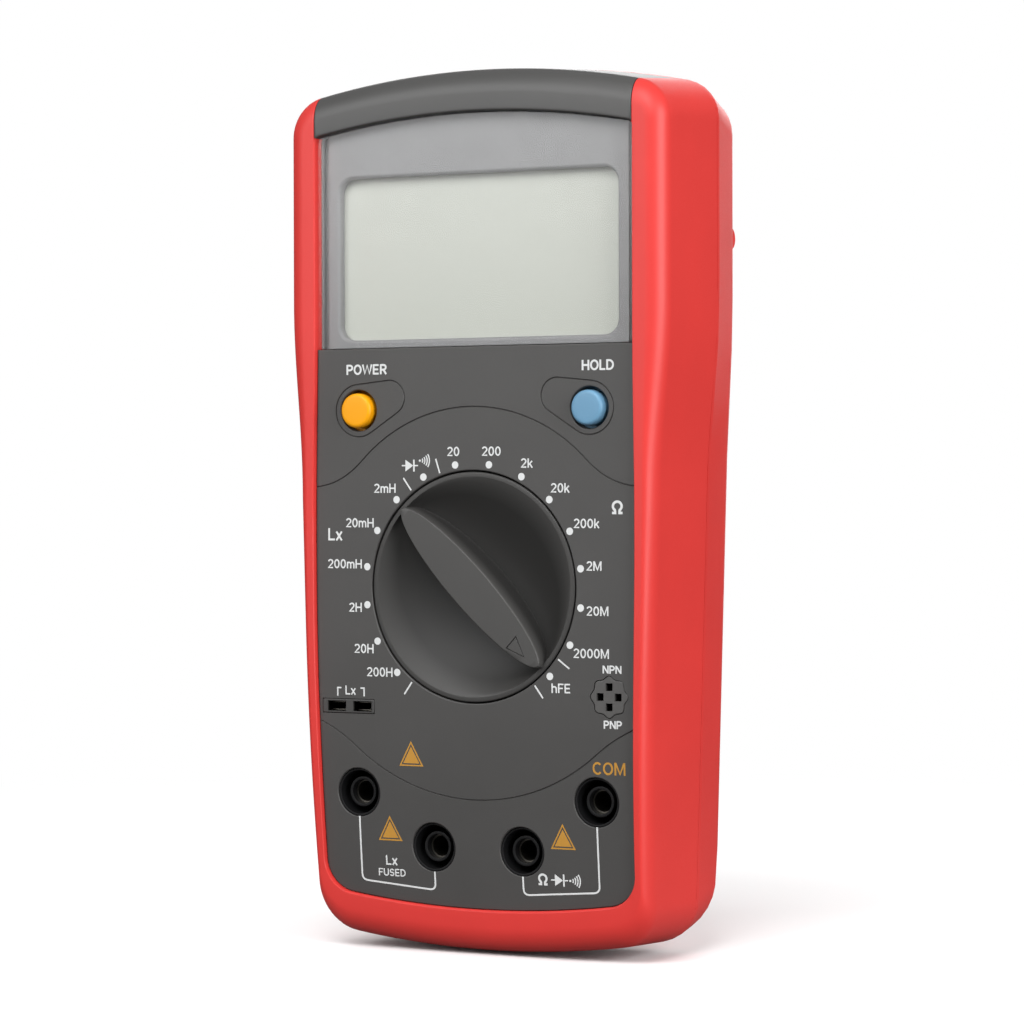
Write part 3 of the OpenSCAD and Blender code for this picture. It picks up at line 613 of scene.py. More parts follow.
def button(name, slot):
    """Round cap with a soft rim, a flange behind the face and a stem towards its switch."""
    flange_r, stem_r, rim_soft = 4.6, 1.9, 0.7
    flange_front, flange_back = Y_FACE + 2.8, Y_FACE + 3.6
    profile = [(0.02, Y_CROWN + 0.02), (BUTTON_R * 0.5, Y_CROWN + 0.03)]
    profile += rim(BUTTON_R, Y_CROWN + 0.05, rim_soft, 1, 8)
    profile += [(BUTTON_R, flange_front), (flange_r, flange_front), (flange_r, flange_back),
                (stem_r, flange_back), (stem_r, Y_BOARD - 3.6)]
    cap = build(name + "_cap", lathe(BUTTON_XZ[name], profile, 96))
    return place(cap, name, slot, name + "_button", sharp=40)


# -------- selector knob

def selector_knob():
    """Dished knob with a tall fin. Columns run from the rim down the dish and up the fin's wall."""
    columns = 192
    rim_r = 21.15
    fin_l, fin_w, tip_power = 21.5, 4.8, 1.08
    yf = Y_FACE + 0.1
    dish = 5.0
    dish_steps = 14
    # The fin's wall, as shares of the way inwards and of the way up
    wall = ((0.10, 0.02), (0.24, 0.08), (0.34, 0.2), (0.42, 0.4), (0.5, 0.62), (0.57, 0.8),
            (0.64, 0.9), (0.75, 0.965), (0.88, 0.993), (1, 1))
    lean = 0.9

    def at(u, v, y):
        p = Vector((u, v))
        angle = math.radians(KNOB_POINTER)
        x = p.x * math.cos(angle) + p.y * math.sin(angle)
        z = -p.x * math.sin(angle) + p.y * math.cos(angle)
        return KNOB_XZ[0] + x, y, KNOB_XZ[1] + z

    def fin(a, shrink):
        s, c = math.sin(a), math.cos(a)
        width = (fin_w - shrink) * abs(s) ** tip_power
        return math.copysign(width, s), (fin_l - shrink * 0.75) * c

    angles = [2 * math.pi * i / columns for i in range(columns)]

    def circle(r, y):
        return [at(r * math.sin(a), r * math.cos(a), y) for a in angles]

    flange_front, flange_back = Y_FACE + 3, Y_FACE + 5.1
    hub_back = yf + 5.4
    rings = [circle(4, hub_back), circle(12, hub_back), circle(17, flange_back),
             circle(FLANGE_R, flange_back), circle(FLANGE_R, flange_front), circle(KNOB_R, flange_front)]
    rings += [circle(r, y) for r, y in rim(KNOB_R, yf, 0.3, 1, 4)[::-1]]
    rings += [circle(rim_r + 0.1, yf)]
    base_depth = [dish * abs(math.sin(a)) ** 1.1 + 0.05 for a in angles]
    for k in range(dish_steps + 1):
        t = k / dish_steps
        fall = math.sin(t * math.pi / 2) ** 1.25
        row = []
        for a, depth in zip(angles, base_depth):
            fu, fv = fin(a, 0)
            u = rim_r * math.sin(a) * (1 - t) + fu * t
            v = rim_r * math.cos(a) * (1 - t) + fv * t
            row.append(at(u, v, yf + depth * fall))
        rings.append(row)
    for inward, up in wall:
        row = []
        for a, depth in zip(angles, base_depth):
            fu, fv = fin(a, lean * inward)
            bottom = yf + depth
            row.append(at(fu, fv, bottom + (Y_CROWN - bottom) * up))
        rings.append(row)
    points, faces = loft(rings)
    # The fin's top is a ladder of quads from side to side in place of one cap
    last = (len(rings) - 1) * columns
    faces.pop()
    for i in range(columns // 2):
        mirror_i, mirror_j = (columns - i) % columns, columns - i - 1
        ladder = [last + i, last + i + 1, last + mirror_j, last + mirror_i]
        faces.append(tuple(dict.fromkeys(ladder)))
    knob = build("selector_knob_dial", (points, faces))
    # Pointer mark: a small engraved triangle near the fin's tip, with corners from the knob's centre
    mark_corners = ((10.2, -9.3), (8.15, -11.5), (12.0, -13.1))
    mark_width, mark_depth = 0.14, 0.22
    cx, cz = KNOB_XZ
    points, faces = groove([(cx + x, cz + z) for x, z in mark_corners], mark_width, mark_depth, closed=True)
    cut(knob, ([(x, y + Y_CROWN - Y_FACE, z) for x, y, z in points], faces))
    # Its material paints the dish darker with depth, as painted shade
    return place(knob, "knob", "knob_dark", "selector_knob", sharp=42)


# -------- window

VIEW_BOX = (-30.5, 118.9, 30.5, 150.5)


def window_outline(d):
    return clip(panel_outline(d), WINDOW_LOW + d, False)


def view_opening(grow_by, y):
    x0, z0, x1, z1 = VIEW_BOX
    corner_r = 3 + grow_by
    return ring(rounded_box(x0 - grow_by, z0 - grow_by, x1 + grow_by, z1 + grow_by, corner_r, 12), y)


def window():
    """Clear pane over a grey mask, whose rounded opening shows the display glass."""
    pane_t = 1.5
    lens = build("window_lens", slab(window_outline(GAP), Y_FACE, Y_FACE + pane_t, soft=0.18))
    place(lens, "case", "clear_window", "display_lens", sharp=30)
    front = Y_FACE + pane_t + GAP
    back = Y_FACE + LEDGE_DEPTH - 0.05
    outer = window_outline(GAP)
    mask = build("window_mask", loft([ring(outer, front), ring(outer, back)]))
    # Channel along each side, under the edges of the pane
    channel_in, channel_floor = 32.9, front + 1.1
    channel_out = channel_in + 1.35
    for side in (-1, 1):
        x0, x1 = sorted((side * channel_in, side * channel_out))
        cut(mask, block(x0, x1, front - 1, channel_floor, WINDOW_LOW - 1, PANEL_TOP + 1))
    soft = 0.7
    rings = [view_opening(soft, front - 1)]
    rings += [view_opening(soft * out, front + soft * behind) for out, behind in quarter_turn(6)]
    cut(mask, loft(rings + [view_opening(0, back + 1)]))
    place(mask, "case", "mask_grey", "display_mask", sharp=35)


# -------- printing on the face

INK_PROUD = 0.035
INK_SUNK = 0.03
DOT_R = 0.71
DOT_RING = 23.7
DIAL_STEP = 18
LABEL_GAP = 1.25
LABEL_RISE = 2.5
LABEL_RISE_ASIDE = 0.9
LABEL_CAP = 1.8
SYMBOL_W = 3.6
INDEX_IN, INDEX_OUT = 22.95, 25.9
DIAL_LABELS = ["200H", "20H", "2H", "200mH", "20mH", "2mH", "", "20", "200", "2k", "20k", "200k", "2M", "20M",
               "2000M", "hFE"]
INDEX_STEPS = (-0.5, 5.5, 6.5, 14.5, 15.5)
BRACKET_Z = 13.4


def ink_prism(points):
    """Thin closed prism on the face from an outline of [x, z] points."""
    front = [(x, face_y(z) - INK_PROUD, z) for x, z in points]
    back = [(x, face_y(z) + INK_SUNK, z) for x, z in points]
    return loft([front, back])


def ink_line(path, half_width=0.16, closed=False):
    return stroke(path, half_width, Y_FACE - INK_PROUD, Y_FACE + INK_SUNK, 1, closed)


def ink_dot(x, z, r):
    return ink_prism(arc(x, z, r, 0, 348, 29))


LOW, HIGH, HALF = 0.075, 0.925, 0.5       # middle lines of the lowest, highest and middle strokes
SMALL = 0.72                              # height of small letters
STEM = 0.09


def letter_shapes():
    """Plain upright letters: width, then strokes as paths in units of the capital height."""
    def stem(x=STEM, top=1):
        return [(x, 0), (x, top)]

    def hook(x0, x1):
        return [(x0, 0.42)] + bowl((x0 + x1) / 2, 0.44, (x1 - x0) / 2, 0.22, 165, 0, 8) + [(x1, 0)]

    def bar(z, x=0.56):
        return [(STEM, z), (x, z)]

    loop = [(STEM, HIGH)] + bowl(0.34, 0.69, 0.22, 0.235, 90, -90) + [(STEM, 0.455)]
    return {
        "0": (0.6, bowl(0.3, HALF, 0.215, 0.425, 0, 360, 28)),
        "2": (0.6, bowl(0.3, 0.69, 0.215, 0.235, 165, -35) + [(STEM, LOW), (0.55, LOW)]),
        "C": (0.7, bowl(0.38, HALF, 0.29, 0.425, 42, 318, 22)),
        "D": (0.7, stem(), [(STEM, HIGH), (0.28, HIGH)] + bowl(0.28, HALF, 0.33, 0.425, 85, -85)
              + [(0.28, LOW), (STEM, LOW)]),
        "E": (0.62, stem(), bar(HIGH), bar(HALF, 0.52), bar(LOW)),
        "F": (0.58, stem(), bar(HIGH), bar(HALF, 0.48)),
        "H": (0.7, stem(), stem(0.61), bar(HALF, 0.61)),
        "L": (0.55, stem(), bar(LOW, 0.53)),
        "M": (0.84, stem(), stem(0.75), [(0.12, 0.95), (0.42, 0.1), (0.72, 0.95)]),
        "N": (0.72, stem(), stem(0.63), [(0.12, 0.93), (0.6, LOW)]),
        "O": (0.76, bowl(0.38, HALF, 0.3, 0.425, 0, 360, 28)),
        "P": (0.64, stem(), loop),
        "R": (0.68, stem(), loop, [(0.34, 0.455), (0.6, 0)]),
        "S": (0.64, bowl(0.32, 0.705, 0.21, 0.22, 20, 255) + bowl(0.32, 0.285, 0.225, 0.21, 75, -160)),
        "U": (0.7, [(STEM, 1)] + bowl(0.35, 0.335, 0.26, 0.26, 180, 360) + [(0.61, 1)]),
        "W": (0.94, [(0.05, 1), (0.25, LOW), (0.47, HIGH), (0.69, LOW), (0.89, 1)]),
        "h": (0.58, stem(), hook(STEM, 0.49)),
        "k": (0.54, stem(), [(0.47, SMALL), (0.12, 0.3)], [(0.23, 0.44), (0.49, 0)]),
        "m": (0.84, stem(top=SMALL), hook(STEM, 0.42), hook(0.42, 0.75)),
        "x": (0.52, [(0.05, 0), (0.47, SMALL)], [(0.47, 0), (0.05, SMALL)]),
        "Ω": (0.84, [(0.06, LOW), (0.27, LOW), (0.27, 0.2)] + bowl(0.42, 0.58, 0.3, 0.345, 235, -55, 26)
              + [(0.57, 0.2), (0.57, LOW), (0.78, LOW)]),
    }


LETTER_SPACE = 0.07
LETTER_WIDE = 1.22
BOLD = 0.096
LETTER_SHAPES = letter_shapes()
LETTER_SOLIDS = {}
DRAFT = 100                               # letters are joined at this size and scaled afterwards


def letter_solid(character, weight):
    """One letter as a flat closed solid of joined strokes.

    Its points are (x, z, whether on the front), in units of the capital height.
    """
    key = (character, weight)
    if key not in LETTER_SOLIDS:
        strokes = []
        for path in LETTER_SHAPES[character][1:]:
            closed = Vector(path[0]).to_tuple(4) == Vector(path[-1]).to_tuple(4)
            path = [(x * LETTER_WIDE * DRAFT, z * DRAFT) for x, z in (path[:-1] if closed else path)]
            strokes.append(stroke(path, weight * DRAFT, 0, DRAFT / 4, closed=closed))
        letter = join(build("letter", strokes[0]), *strokes[1:])
        points = [(v.co.x / DRAFT / MM, v.co.z / DRAFT / MM, v.co.y < DRAFT / 8 * MM)
                  for v in letter.data.vertices]
        faces = [tuple(face.vertices) for face in letter.data.polygons]
        bpy.data.objects.remove(letter)
        LETTER_SOLIDS[key] = points, faces
    return LETTER_SOLIDS[key]


def letter_width(character):
    return LETTER_SHAPES[character][0] * LETTER_WIDE


def text_width(text, cap):
    return cap * (sum(letter_width(c) + LETTER_SPACE for c in text) - LETTER_SPACE)


def ink_text(text, x, z, cap, weight=0.078):
    """Text as thin closed solids on the face, centred on (x, z)."""
    points, faces = [], []
    left = x - text_width(text, cap) / 2
    for character in text:
        letter_points, letter_faces = letter_solid(character, weight)
        start = len(points)
        for u, w, front in letter_points:
            level = z + (w - 0.5) * cap
            points.append((left + u * cap, face_y(level) + (-INK_PROUD if front else INK_SUNK), level))
        faces += [tuple(start + i for i in face) for face in letter_faces]
        left += cap * (letter_width(character) + LETTER_SPACE)
    return points, faces


def on_dial(angle, r):
    """Point at a clockwise angle from the top, r away from the knob's centre."""
    a = math.radians(angle)
    return KNOB_XZ[0] + r * math.sin(a), KNOB_XZ[1] + r * math.cos(a)


def dial_angle(step):
    return DIAL_STEP * step - KNOB_POINTER


def dial_label(text, step):
    """Label outside its dot: beside it at the sides of the dial, over or under it elsewhere."""
    a = math.radians(dial_angle(step))
    x, z = on_dial(dial_angle(step), DOT_RING)
    half = text_width(text, LABEL_CAP) / 2
    if step == 0:
        return ink_text(text, x - half - DOT_R - 0.3, z, LABEL_CAP)
    rise = math.cos(a) * (LABEL_RISE + LABEL_RISE_ASIDE * abs(math.sin(a)))
    return ink_text(text, x + math.sin(a) * (half + LABEL_GAP), z + rise, LABEL_CAP)


def diode(x, z, size):
    """Diode symbol: a filled triangle, a bar and two leads."""
    half = size / 2
    body = [(x - half * 0.55, z - half * 0.62), (x + half * 0.4, z), (x - half * 0.55, z + half * 0.62)]
    bar_at = x + half * 0.5
    return [ink_prism(body),
            ink_line([(bar_at, z - half * 0.64), (bar_at, z + half * 0.64)], 0.16),
            ink_line([(x - half, z), (x - half * 0.5, z)], 0.13),
            ink_line([(x + half * 0.6, z), (x + half, z)], 0.13)]


def sound(x, z):
    """Sound symbol: a dot and widening arcs."""
    waves = [ink_dot(x, z, 0.22)]
    for r in (0.65, 1.15, 1.65, 2.15):
        waves.append(ink_line(arc(x, z, r, -35, 35, 8), 0.12))
    return waves


def socket_bracket(outer, inner):
    """Line from an outer test-lead socket down, across under the labels and up to the inner one."""
    side = 1 if inner[0] > outer[0] else -1
    x0, x1 = outer[0], inner[0]
    r = 1.2
    low_end = BRACKET_Z - r
    steps = 8
    top = outer[1] - JACK_R
    path = [(x0, top + (BRACKET_Z + r - top) * i / steps) for i in range(steps)]
    path += curve((x0, BRACKET_Z + r), (x0, BRACKET_Z + 0.4), (x0 + side * 0.4, BRACKET_Z),
                  (x0 + side * r, BRACKET_Z - 0.1), 6)
    start, end = x0 + side * r, x1 - side * r
    path += [(start + (end - start) * i / steps, BRACKET_Z - 0.1 + (low_end - BRACKET_Z + 0.1) * i / steps)
             for i in range(1, steps)]
    path += curve((end, low_end), (x1 - side * 0.4, low_end), (x1, low_end + 0.4), (x1, low_end + r), 6)
    return path + [(x1, inner[1] - JACK_R - 0.1)]


def dial_printing():
    ink = [dial_label(text, step) for step, text in enumerate(DIAL_LABELS) if text]
    ink += [ink_dot(*on_dial(dial_angle(step), DOT_RING), DOT_R) for step in range(len(DIAL_LABELS))]
    for step in INDEX_STEPS:
        angle = dial_angle(step)
        ink.append(ink_line([on_dial(angle, INDEX_IN), on_dial(angle, INDEX_OUT)], 0.15))
    blank = dial_angle(DIAL_LABELS.index(""))
    ink += diode(*on_dial(blank - 3.5, 27.1), SYMBOL_W)
    ink += sound(*on_dial(blank + 1.6, 26.9))
    z = KNOB_XZ[1] + 10
    ink.append(ink_text("Lx", 4.4 - panel_hw(z), z, 2.4))
    z = KNOB_XZ[1] + 15.3
    ink.append(ink_text("Ω", panel_hw(z) - 3.9, z, 2.5, BOLD))
    return ink


def white_printing():
    ink = dial_printing()
    for name, centre in BUTTON_XZ.items():
        ink.append(ink_text(name.upper(), centre[0] + 1.85, centre[1] + 8, 1.95, BOLD))
    for text, rise in (("NPN", 5.2), ("PNP", -5.2)):
        ink.append(ink_text(text, SOCKET_XZ[0] + 0.7, SOCKET_XZ[1] + rise, 1.5, BOLD))
    slot_x = (SLOT_BOX[0] + SLOT_BOX[2]) / 2
    slot_top = SLOT_BOX[3]
    ink.append(ink_text("Lx", slot_x + 0.5, slot_top + 1.75, 1.75))
    tick_low, tick_top = slot_top + 0.6, slot_top + 2.2
    for side in (-1, 1):
        x = slot_x + 0.6 + side * 3
        ink.append(ink_line([(x, tick_low), (x, tick_top), (x - side * 0.8, tick_top)], 0.14))
    left_out, left_in, right_in, right_out = sorted(JACK_XZ)
    fused_x = (left_out[0] + left_in[0]) / 2 - 1.4
    ink += [ink_text("Lx", fused_x, BRACKET_Z + 4.1, 1.9), ink_text("FUSED", fused_x, BRACKET_Z + 1.7, 1.45)]
    ohm_x = (right_in[0] + right_out[0]) / 2
    ohm_z = BRACKET_Z + 2
    ink.append(ink_text("Ω", ohm_x - 3.9, ohm_z, 2.2, BOLD))
    ink += diode(ohm_x - 0.3, ohm_z, SYMBOL_W) + sound(ohm_x + 2, ohm_z)
    for outer, inner in ((left_out, left_in), (right_out, right_in)):
        ink.append(ink_line(socket_bracket(outer, inner), 0.17))
    return place(build("white_printing", *ink), "case", None, look="printing_white", sharp=30)


def plain_triangle(x, z):
    """Plain triangle with a thin border line, standing on z."""
    border = [(x - 2.45, z + 0.15), (x + 2.45, z + 0.15), (x, z + 4.6)]
    fill = [(x - 1.8, z + 0.55), (x + 1.8, z + 0.55), (x, z + 3.8)]
    return [ink_line(border, 0.14, closed=True), ink_prism(fill)]


def orange_printing():
    left_out, left_in, right_in, right_out = sorted(JACK_XZ)
    ink = [ink_text("COM", right_out[0] + 2.9, right_out[1] + 6.5, 2.4)]
    triangle_z = (left_out[1] + left_in[1]) / 2 - 4.2
    ink += plain_triangle((left_out[0] + left_in[0]) / 2 - 1.4, triangle_z)
    ink += plain_triangle((right_in[0] + right_out[0]) / 2 + 0.8, triangle_z)
    ink += plain_triangle(KNOB_XZ[0] - 14, left_out[1] + 5.5)
    return place(build("orange_printing", *ink), "case", None, look="printing_orange", sharp=30)


# -------- materials

WHITE = (1, 1, 1, 1)


class Wiring:
    """Short way to fill the empty node tree of a world or a material."""

    def __init__(self, owner):
        owner.use_nodes = True
        self.tree = owner.node_tree
        self.tree.nodes.clear()

    def add(self, kind, **values):
        node = self.tree.nodes.new(kind)
        for key, value in values.items():
            node.inputs[key.replace("_", " ")].default_value = value
        return node

    def link(self, a, out, b, into):
        self.tree.links.new(a.outputs[out], b.inputs[into])


class Nodes(Wiring):
    """Nodes of a named material, which is made if it isn't there yet."""

    def __init__(self, name):
        self.material = bpy.data.materials.get(name) or bpy.data.materials.new(name)
        super().__init__(self.material)
        self.shader = self.add("ShaderNodeBsdfPrincipled")
        self.output = self.add("ShaderNodeOutputMaterial")
        self.link(self.shader, "BSDF", self.output, "Surface")
        self.coords = self.add("ShaderNodeTexCoord")

    def noise(self, scale, detail=3.0, roughness=0.55):
        node = self.add("ShaderNodeTexNoise", Scale=scale, Detail=detail, Roughness=roughness)
        self.link(self.coords, "Object", node, "Vector")
        return node

    def span(self, source, out, low, high):
        """Maps 0.3 to 0.7 of a source onto low to high."""
        node = self.add("ShaderNodeMapRange", From_Min=0.3, From_Max=0.7, To_Min=low, To_Max=high)
        self.link(source, out, node, "Value")
        return node

    def blend(self, first, second, source, out):
        """Colour between two others, by a source's value."""
        node = self.add("ShaderNodeMix")
        node.data_type = "RGBA"
        node.inputs[6].default_value = first
        node.inputs[7].default_value = second
        self.link(source, out, node, "Factor")
        return node


def shade(colour, factor):
    return tuple(min(1, c * factor) for c in colour) + (1,)


def moulded(slot, colour, roughness, grain=0.12, grain_scale=5200, spread=0.05, specular=0.5, coat=0.0,
            painted_shade=None):
    """Moulded plastic: a fine spark-eroded grain, slow colour drift and uneven gloss.

    With the painted-shade argument (y0, y1, share), colour and gloss fall to a share of themselves between
    two depths: painted shade standing in for the shadow deeper in a hollow.
    """
    n = Nodes(slot)
    drift = n.span(n.noise(45, 3), "Fac", 0, 1)
    tint = n.blend(shade(colour, 1 - spread), shade(colour, 1 + spread), drift, "Result")
    n.link(tint, 2, n.shader, "Base Color")
    n.shader.inputs["Specular IOR Level"].default_value = specular
    # Painted shade: colour and gloss fall with depth, where a hollow's shadow would fall
    if painted_shade:
        y0, y1, share = painted_shade
        split = n.add("ShaderNodeSeparateXYZ")
        n.link(n.coords, "Object", split, "Vector")
        depth = n.add("ShaderNodeMapRange", From_Min=y0 * MM, From_Max=y1 * MM)
        n.link(split, "Y", depth, "Value")
        deep = n.blend(shade(colour, 1), shade(colour, share), depth, "Result")
        n.link(tint, 2, deep, 6)
        n.link(deep, 2, n.shader, "Base Color")
        gloss = n.add("ShaderNodeMapRange", To_Min=specular, To_Max=specular * share)
        n.link(depth, "Result", gloss, "Value")
        n.link(gloss, "Result", n.shader, "Specular IOR Level")
    fine = n.noise(grain_scale, 2, 0.6)
    n.link(n.span(fine, "Fac", roughness - 0.05, roughness + 0.06), "Result", n.shader, "Roughness")
    bump = n.add("ShaderNodeBump", Strength=grain, Distance=0.00003)
    n.link(fine, "Fac", bump, "Height")
    n.link(bump, "Normal", n.shader, "Normal")
    n.shader.inputs["Coat Weight"].default_value = coat
    n.shader.inputs["Coat Roughness"].default_value = 0.25


def metal(slot, colour, roughness):
    """Plated or drawn metal: fine scratches in colour, gloss and height."""
    n = Nodes(slot)
    n.shader.inputs["Metallic"].default_value = 1
    scratches = n.noise(900, 5, 0.7)
    tint = n.blend(shade(colour, 0.86), shade(colour, 1.05), scratches, "Fac")
    n.link(tint, 2, n.shader, "Base Color")
    n.link(n.span(scratches, "Fac", roughness - 0.08, roughness + 0.1), "Result", n.shader, "Roughness")
    bump = n.add("ShaderNodeBump", Strength=0.08, Distance=0.00002)
    n.link(scratches, "Fac", bump, "Height")
    n.link(bump, "Normal", n.shader, "Normal")


def clear_pane(slot):
    """Thin clear window: see-through, with soft reflections and faint rub marks."""
    n = Nodes(slot)
    clear = n.add("ShaderNodeBsdfTransparent", Color=(0.965, 0.97, 0.972, 1))
    gloss = n.add("ShaderNodeBsdfGlossy", Color=WHITE)
    rub = n.noise(260, 4)
    n.link(n.span(rub, "Fac", 0.16, 0.22), "Result", gloss, "Roughness")
    fresnel = n.add("ShaderNodeFresnel", IOR=1.42)
    # Only the outer side of the pane reflects, so that light can leave it again
    side = n.add("ShaderNodeNewGeometry")
    facing = n.add("ShaderNodeMath")
    facing.operation = "SUBTRACT"
    facing.inputs[0].default_value = 1
    n.link(side, "Backfacing", facing, 1)
    strength = n.add("ShaderNodeMath")
    strength.operation = "MULTIPLY"
    n.link(fresnel, "Fac", strength, 0)
    n.link(facing, "Value", strength, 1)
    blend = n.add("ShaderNodeMixShader")
    n.link(strength, "Value", blend, "Fac")
    n.link(clear, 0, blend, 1)
    n.link(gloss, 0, blend, 2)
    n.link(blend, 0, n.output, "Surface")
    n.tree.nodes.remove(n.shader)


def liquid_crystal(slot):
    """Display glass: pale green grey with a slow gradient and a faint rear reflector texture."""
    n = Nodes(slot)
    split = n.add("ShaderNodeSeparateXYZ")
    n.link(n.coords, "Object", split, "Vector")
    low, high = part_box("lcd_glass")
    height = n.add("ShaderNodeMapRange", From_Min=low.z, From_Max=high.z)
    n.link(split, "Z", height, "Value")
    cloud = n.noise(30, 2)
    blend = n.add("ShaderNodeMath")
    blend.operation = "MULTIPLY_ADD"
    n.link(cloud, "Fac", blend, 0)
    blend.inputs[1].default_value = 0.25
    n.link(height, "Result", blend, 2)
    tint = n.blend((0.48, 0.487, 0.437, 1), (0.49, 0.498, 0.45, 1), blend, "Value")
    n.link(tint, 2, n.shader, "Base Color")
    speck = n.noise(400, 2)
    n.link(n.span(speck, "Fac", 0.5, 0.56), "Result", n.shader, "Roughness")
    n.shader.inputs["Specular IOR Level"].default_value = 0.2


def materials():
    moulded("red_case", (0.57, 0.032, 0.027), 0.45, grain=0.14, spread=0.035, specular=0.38)
    moulded("dark_panel", (0.0455, 0.044, 0.0425), 0.5, grain=0.16, spread=0.06)
    moulded("band_grey", (0.051, 0.0502, 0.049), 0.42, grain=0.12)
    # Painted shade: the knob's colour and gloss fall to 48 % from just behind the fin's crown down into the
    # dish
    moulded("knob_dark", (0.0485, 0.0472, 0.0455), 0.44, grain=0.10, specular=0.42,
            painted_shade=(Y_CROWN + 0.4, Y_FACE + 2, 0.48))
    # Painted shade: the socket's square holes go nearly black from 0.3 mm behind its face
    deep = face_y(SOCKET_XZ[1]) + 0.3
    moulded("socket_grey", (0.062, 0.06, 0.058), 0.5, grain=0.1, painted_shade=(deep, deep + 0.5, 0.02))
    # Painted shade: the lead slots go nearly black from just behind the frame's front
    deep = face_y(SLOT_BOX[1]) - 0.05
    moulded("slot_black", (0.034, 0.033, 0.032), 0.5, grain=0.1, painted_shade=(deep, deep + 0.5, 0.02))
    moulded("black_plastic", (0.006, 0.006, 0.0065), 0.5, specular=0.17)
    moulded("amber_button", (0.76, 0.31, 0.002), 0.4, grain=0.05, specular=0.25)
    moulded("blue_button", (0.118, 0.255, 0.385), 0.4, grain=0.05, specular=0.3)
    moulded("mask_grey", (0.212, 0.208, 0.21), 0.5, grain=0.06, spread=0.03)
    moulded("white_plastic", (0.8, 0.79, 0.75), 0.45)
    moulded("contact_rubber", (0.14, 0.18, 0.22), 0.7)
    moulded("pad_rubber", (0.028, 0.028, 0.028), 0.75, grain=0.3, grain_scale=3000)
    moulded("board_green", (0.012, 0.14, 0.06), 0.35, grain=0.1, grain_scale=1200, spread=0.15)
    moulded("capacitor_sleeve", (0.035, 0.08, 0.16), 0.35)
    moulded("trimmer_blue", (0.03, 0.15, 0.42), 0.35)
    moulded("fuse_glass", (0.6, 0.66, 0.68), 0.12, grain=0.0, coat=0.5)
    moulded("battery_jacket", (0.13, 0.2, 0.27), 0.3, grain=0.03, coat=0.3)
    moulded("lead_red", (0.45, 0.02, 0.025), 0.4)
    moulded("printing_white", (0.58, 0.59, 0.59), 0.5, grain=0.05, spread=0.03)
    moulded("printing_orange", (0.41, 0.2, 0.024), 0.5, grain=0.05, spread=0.05)
    metal("steel", (0.62, 0.62, 0.61), 0.3)
    metal("brass", (0.17, 0.16, 0.14), 0.35)
    clear_pane("clear_window")
    liquid_crystal("lcd")


# -------- studio

FLOOR_R = 6
CLEAR_R = 0.12
FADE_R = 0.42
FLOOR_GLOW = 0.08
PAPER = 0.93
PAPER_BOUNCE = 0.2


def studio():
    """Plain white floor that fades into a plain white background, under large soft lights."""
    floor = bpy.data.objects.new("floor", bpy.data.meshes.new("floor"))
    bpy.context.scene.collection.objects.link(floor)
    bm = bmesh.new()
    bmesh.ops.create_circle(bm, cap_ends=True, segments=96, radius=FLOOR_R)
    bm.to_mesh(floor.data)
    bm.free()
    floor.location.z = -0.0002
    n = Nodes("paper")
    n.shader.inputs["Roughness"].default_value = 0.9
    n.shader.inputs["Specular IOR Level"].default_value = 0.1
    distance = n.add("ShaderNodeVectorMath")
    distance.operation = "LENGTH"
    n.link(n.coords, "Object", distance, 0)
    fade = n.add("ShaderNodeMapRange", From_Min=CLEAR_R, From_Max=FADE_R)
    fade.interpolation_type = "SMOOTHSTEP"
    n.link(distance, "Value", fade, "Value")
    glow = n.add("ShaderNodeEmission", Color=WHITE)
    # White to the camera and dim to everything else, so that little light comes up from the floor
    rays = n.add("ShaderNodeLightPath")
    levels = ((FLOOR_GLOW, 1, glow, "Strength"), (PAPER_BOUNCE, PAPER, n.shader, "Base Color"))
    for bounced, direct, node, into in levels:
        seen = n.add("ShaderNodeMapRange", To_Min=bounced, To_Max=direct)
        n.link(rays, "Is Camera Ray", seen, "Value")
        n.link(seen, "Result", node, into)
    blend = n.add("ShaderNodeMixShader")
    n.link(fade, "Result", blend, "Fac")
    n.link(n.shader, 0, blend, 1)
    n.link(glow, 0, blend, 2)
    n.link(blend, 0, n.output, "Surface")
    floor.data.materials.append(n.material)
    surroundings()
    soft_box("key", (0.18, -0.87, 0.93), 0.7, 11)
    soft_box("front", (-0.46, -0.87, 0.48), 0.6, 5.4)
    soft_box("fill", (0.9, -0.28, 0.3), 0.6, 10.5)
    soft_box("rim", (-0.3, 0.8, 0.3), 0.6, 4.5)


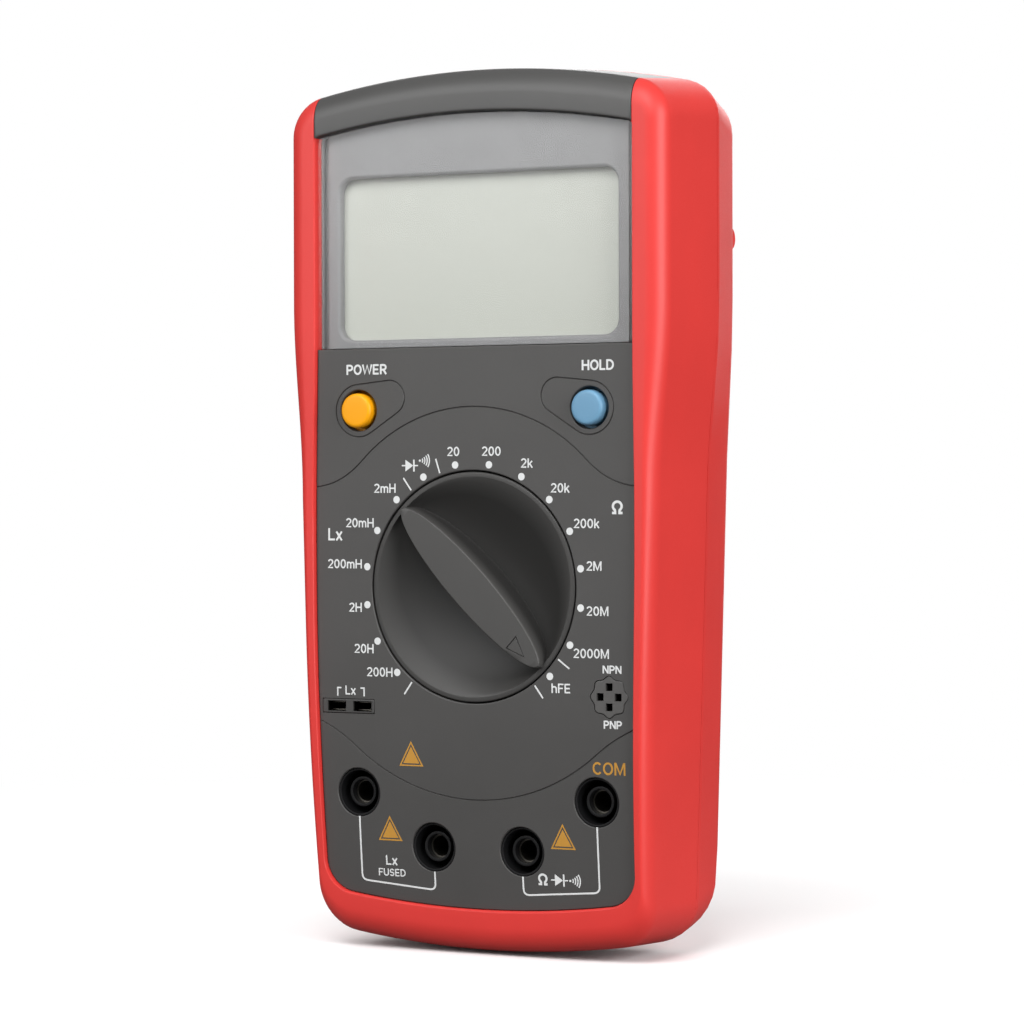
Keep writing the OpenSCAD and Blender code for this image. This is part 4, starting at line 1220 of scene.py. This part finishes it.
def surroundings():
    """World that looks white to the camera and lights the object mostly from above."""
    world = bpy.data.worlds.new("studio")
    bpy.context.scene.world = world
    n = Wiring(world)
    rays = n.add("ShaderNodeLightPath")
    direction = n.add("ShaderNodeTexCoord")
    split = n.add("ShaderNodeSeparateXYZ")
    n.link(direction, "Generated", split, "Vector")
    level = n.add("ShaderNodeMapRange", From_Min=-0.2, From_Max=0.9, To_Min=0.08, To_Max=0.4)
    n.link(split, "Z", level, "Value")
    seen = n.add("ShaderNodeBackground", Color=WHITE)
    around = n.add("ShaderNodeBackground", Color=WHITE)
    n.link(level, "Result", around, "Strength")
    blend = n.add("ShaderNodeMixShader")
    n.link(rays, "Is Camera Ray", blend, "Fac")
    n.link(around, 0, blend, 1)
    n.link(seen, 0, blend, 2)
    n.link(blend, 0, n.add("ShaderNodeOutputWorld"), "Surface")


def soft_box(name, where, size, power):
    """Square area light that faces the middle of the case."""
    light = bpy.data.lights.new(name, "AREA")
    light.shape = "SQUARE"
    light.size = size
    light.energy = power
    lamp = bpy.data.objects.new(name, light)
    lamp.location = where
    aim = Vector((0, 0, CASE_H / 2 * MM)) - Vector(where)
    lamp.rotation_euler = aim.to_track_quat("-Z", "Y").to_euler()
    bpy.context.scene.collection.objects.link(lamp)


def camera():
    """Camera at the photograph's viewing angle: to the right, level with the middle of the case."""
    yaw, pitch, roll = (math.radians(a) for a in (28.57, 0.37, -0.13))
    ahead = Vector((-math.sin(yaw) * math.cos(pitch), math.cos(yaw) * math.cos(pitch), -math.sin(pitch)))
    view = bpy.data.cameras.new("camera")
    view.lens = 125.9
    view.sensor_width = 36
    view.clip_start = 0.01
    eye = bpy.data.objects.new("camera", view)
    eye.location = (0.335, -0.6168, 0.0898)
    turn = ahead.to_track_quat("-Z", "Y").to_matrix() @ Matrix.Rotation(roll, 3, "Z")
    eye.rotation_euler = turn.to_euler()
    bpy.context.scene.collection.objects.link(eye)
    bpy.context.scene.camera = eye


materials()
front_case()
face_plate()
socket_head()
slot_frame()
jack_cups()
button("power", "amber_button")
button("hold", "blue_button")
selector_knob()
smooth_copy("rear_cover_shell", "rear_cover", "case", "red_case")
smooth_copy("steel_balls", "detent_balls", "knob", "steel")
window()
white_printing()
orange_printing()
studio()
camera()
bpy.context.scene.view_settings.view_transform = "Standard"
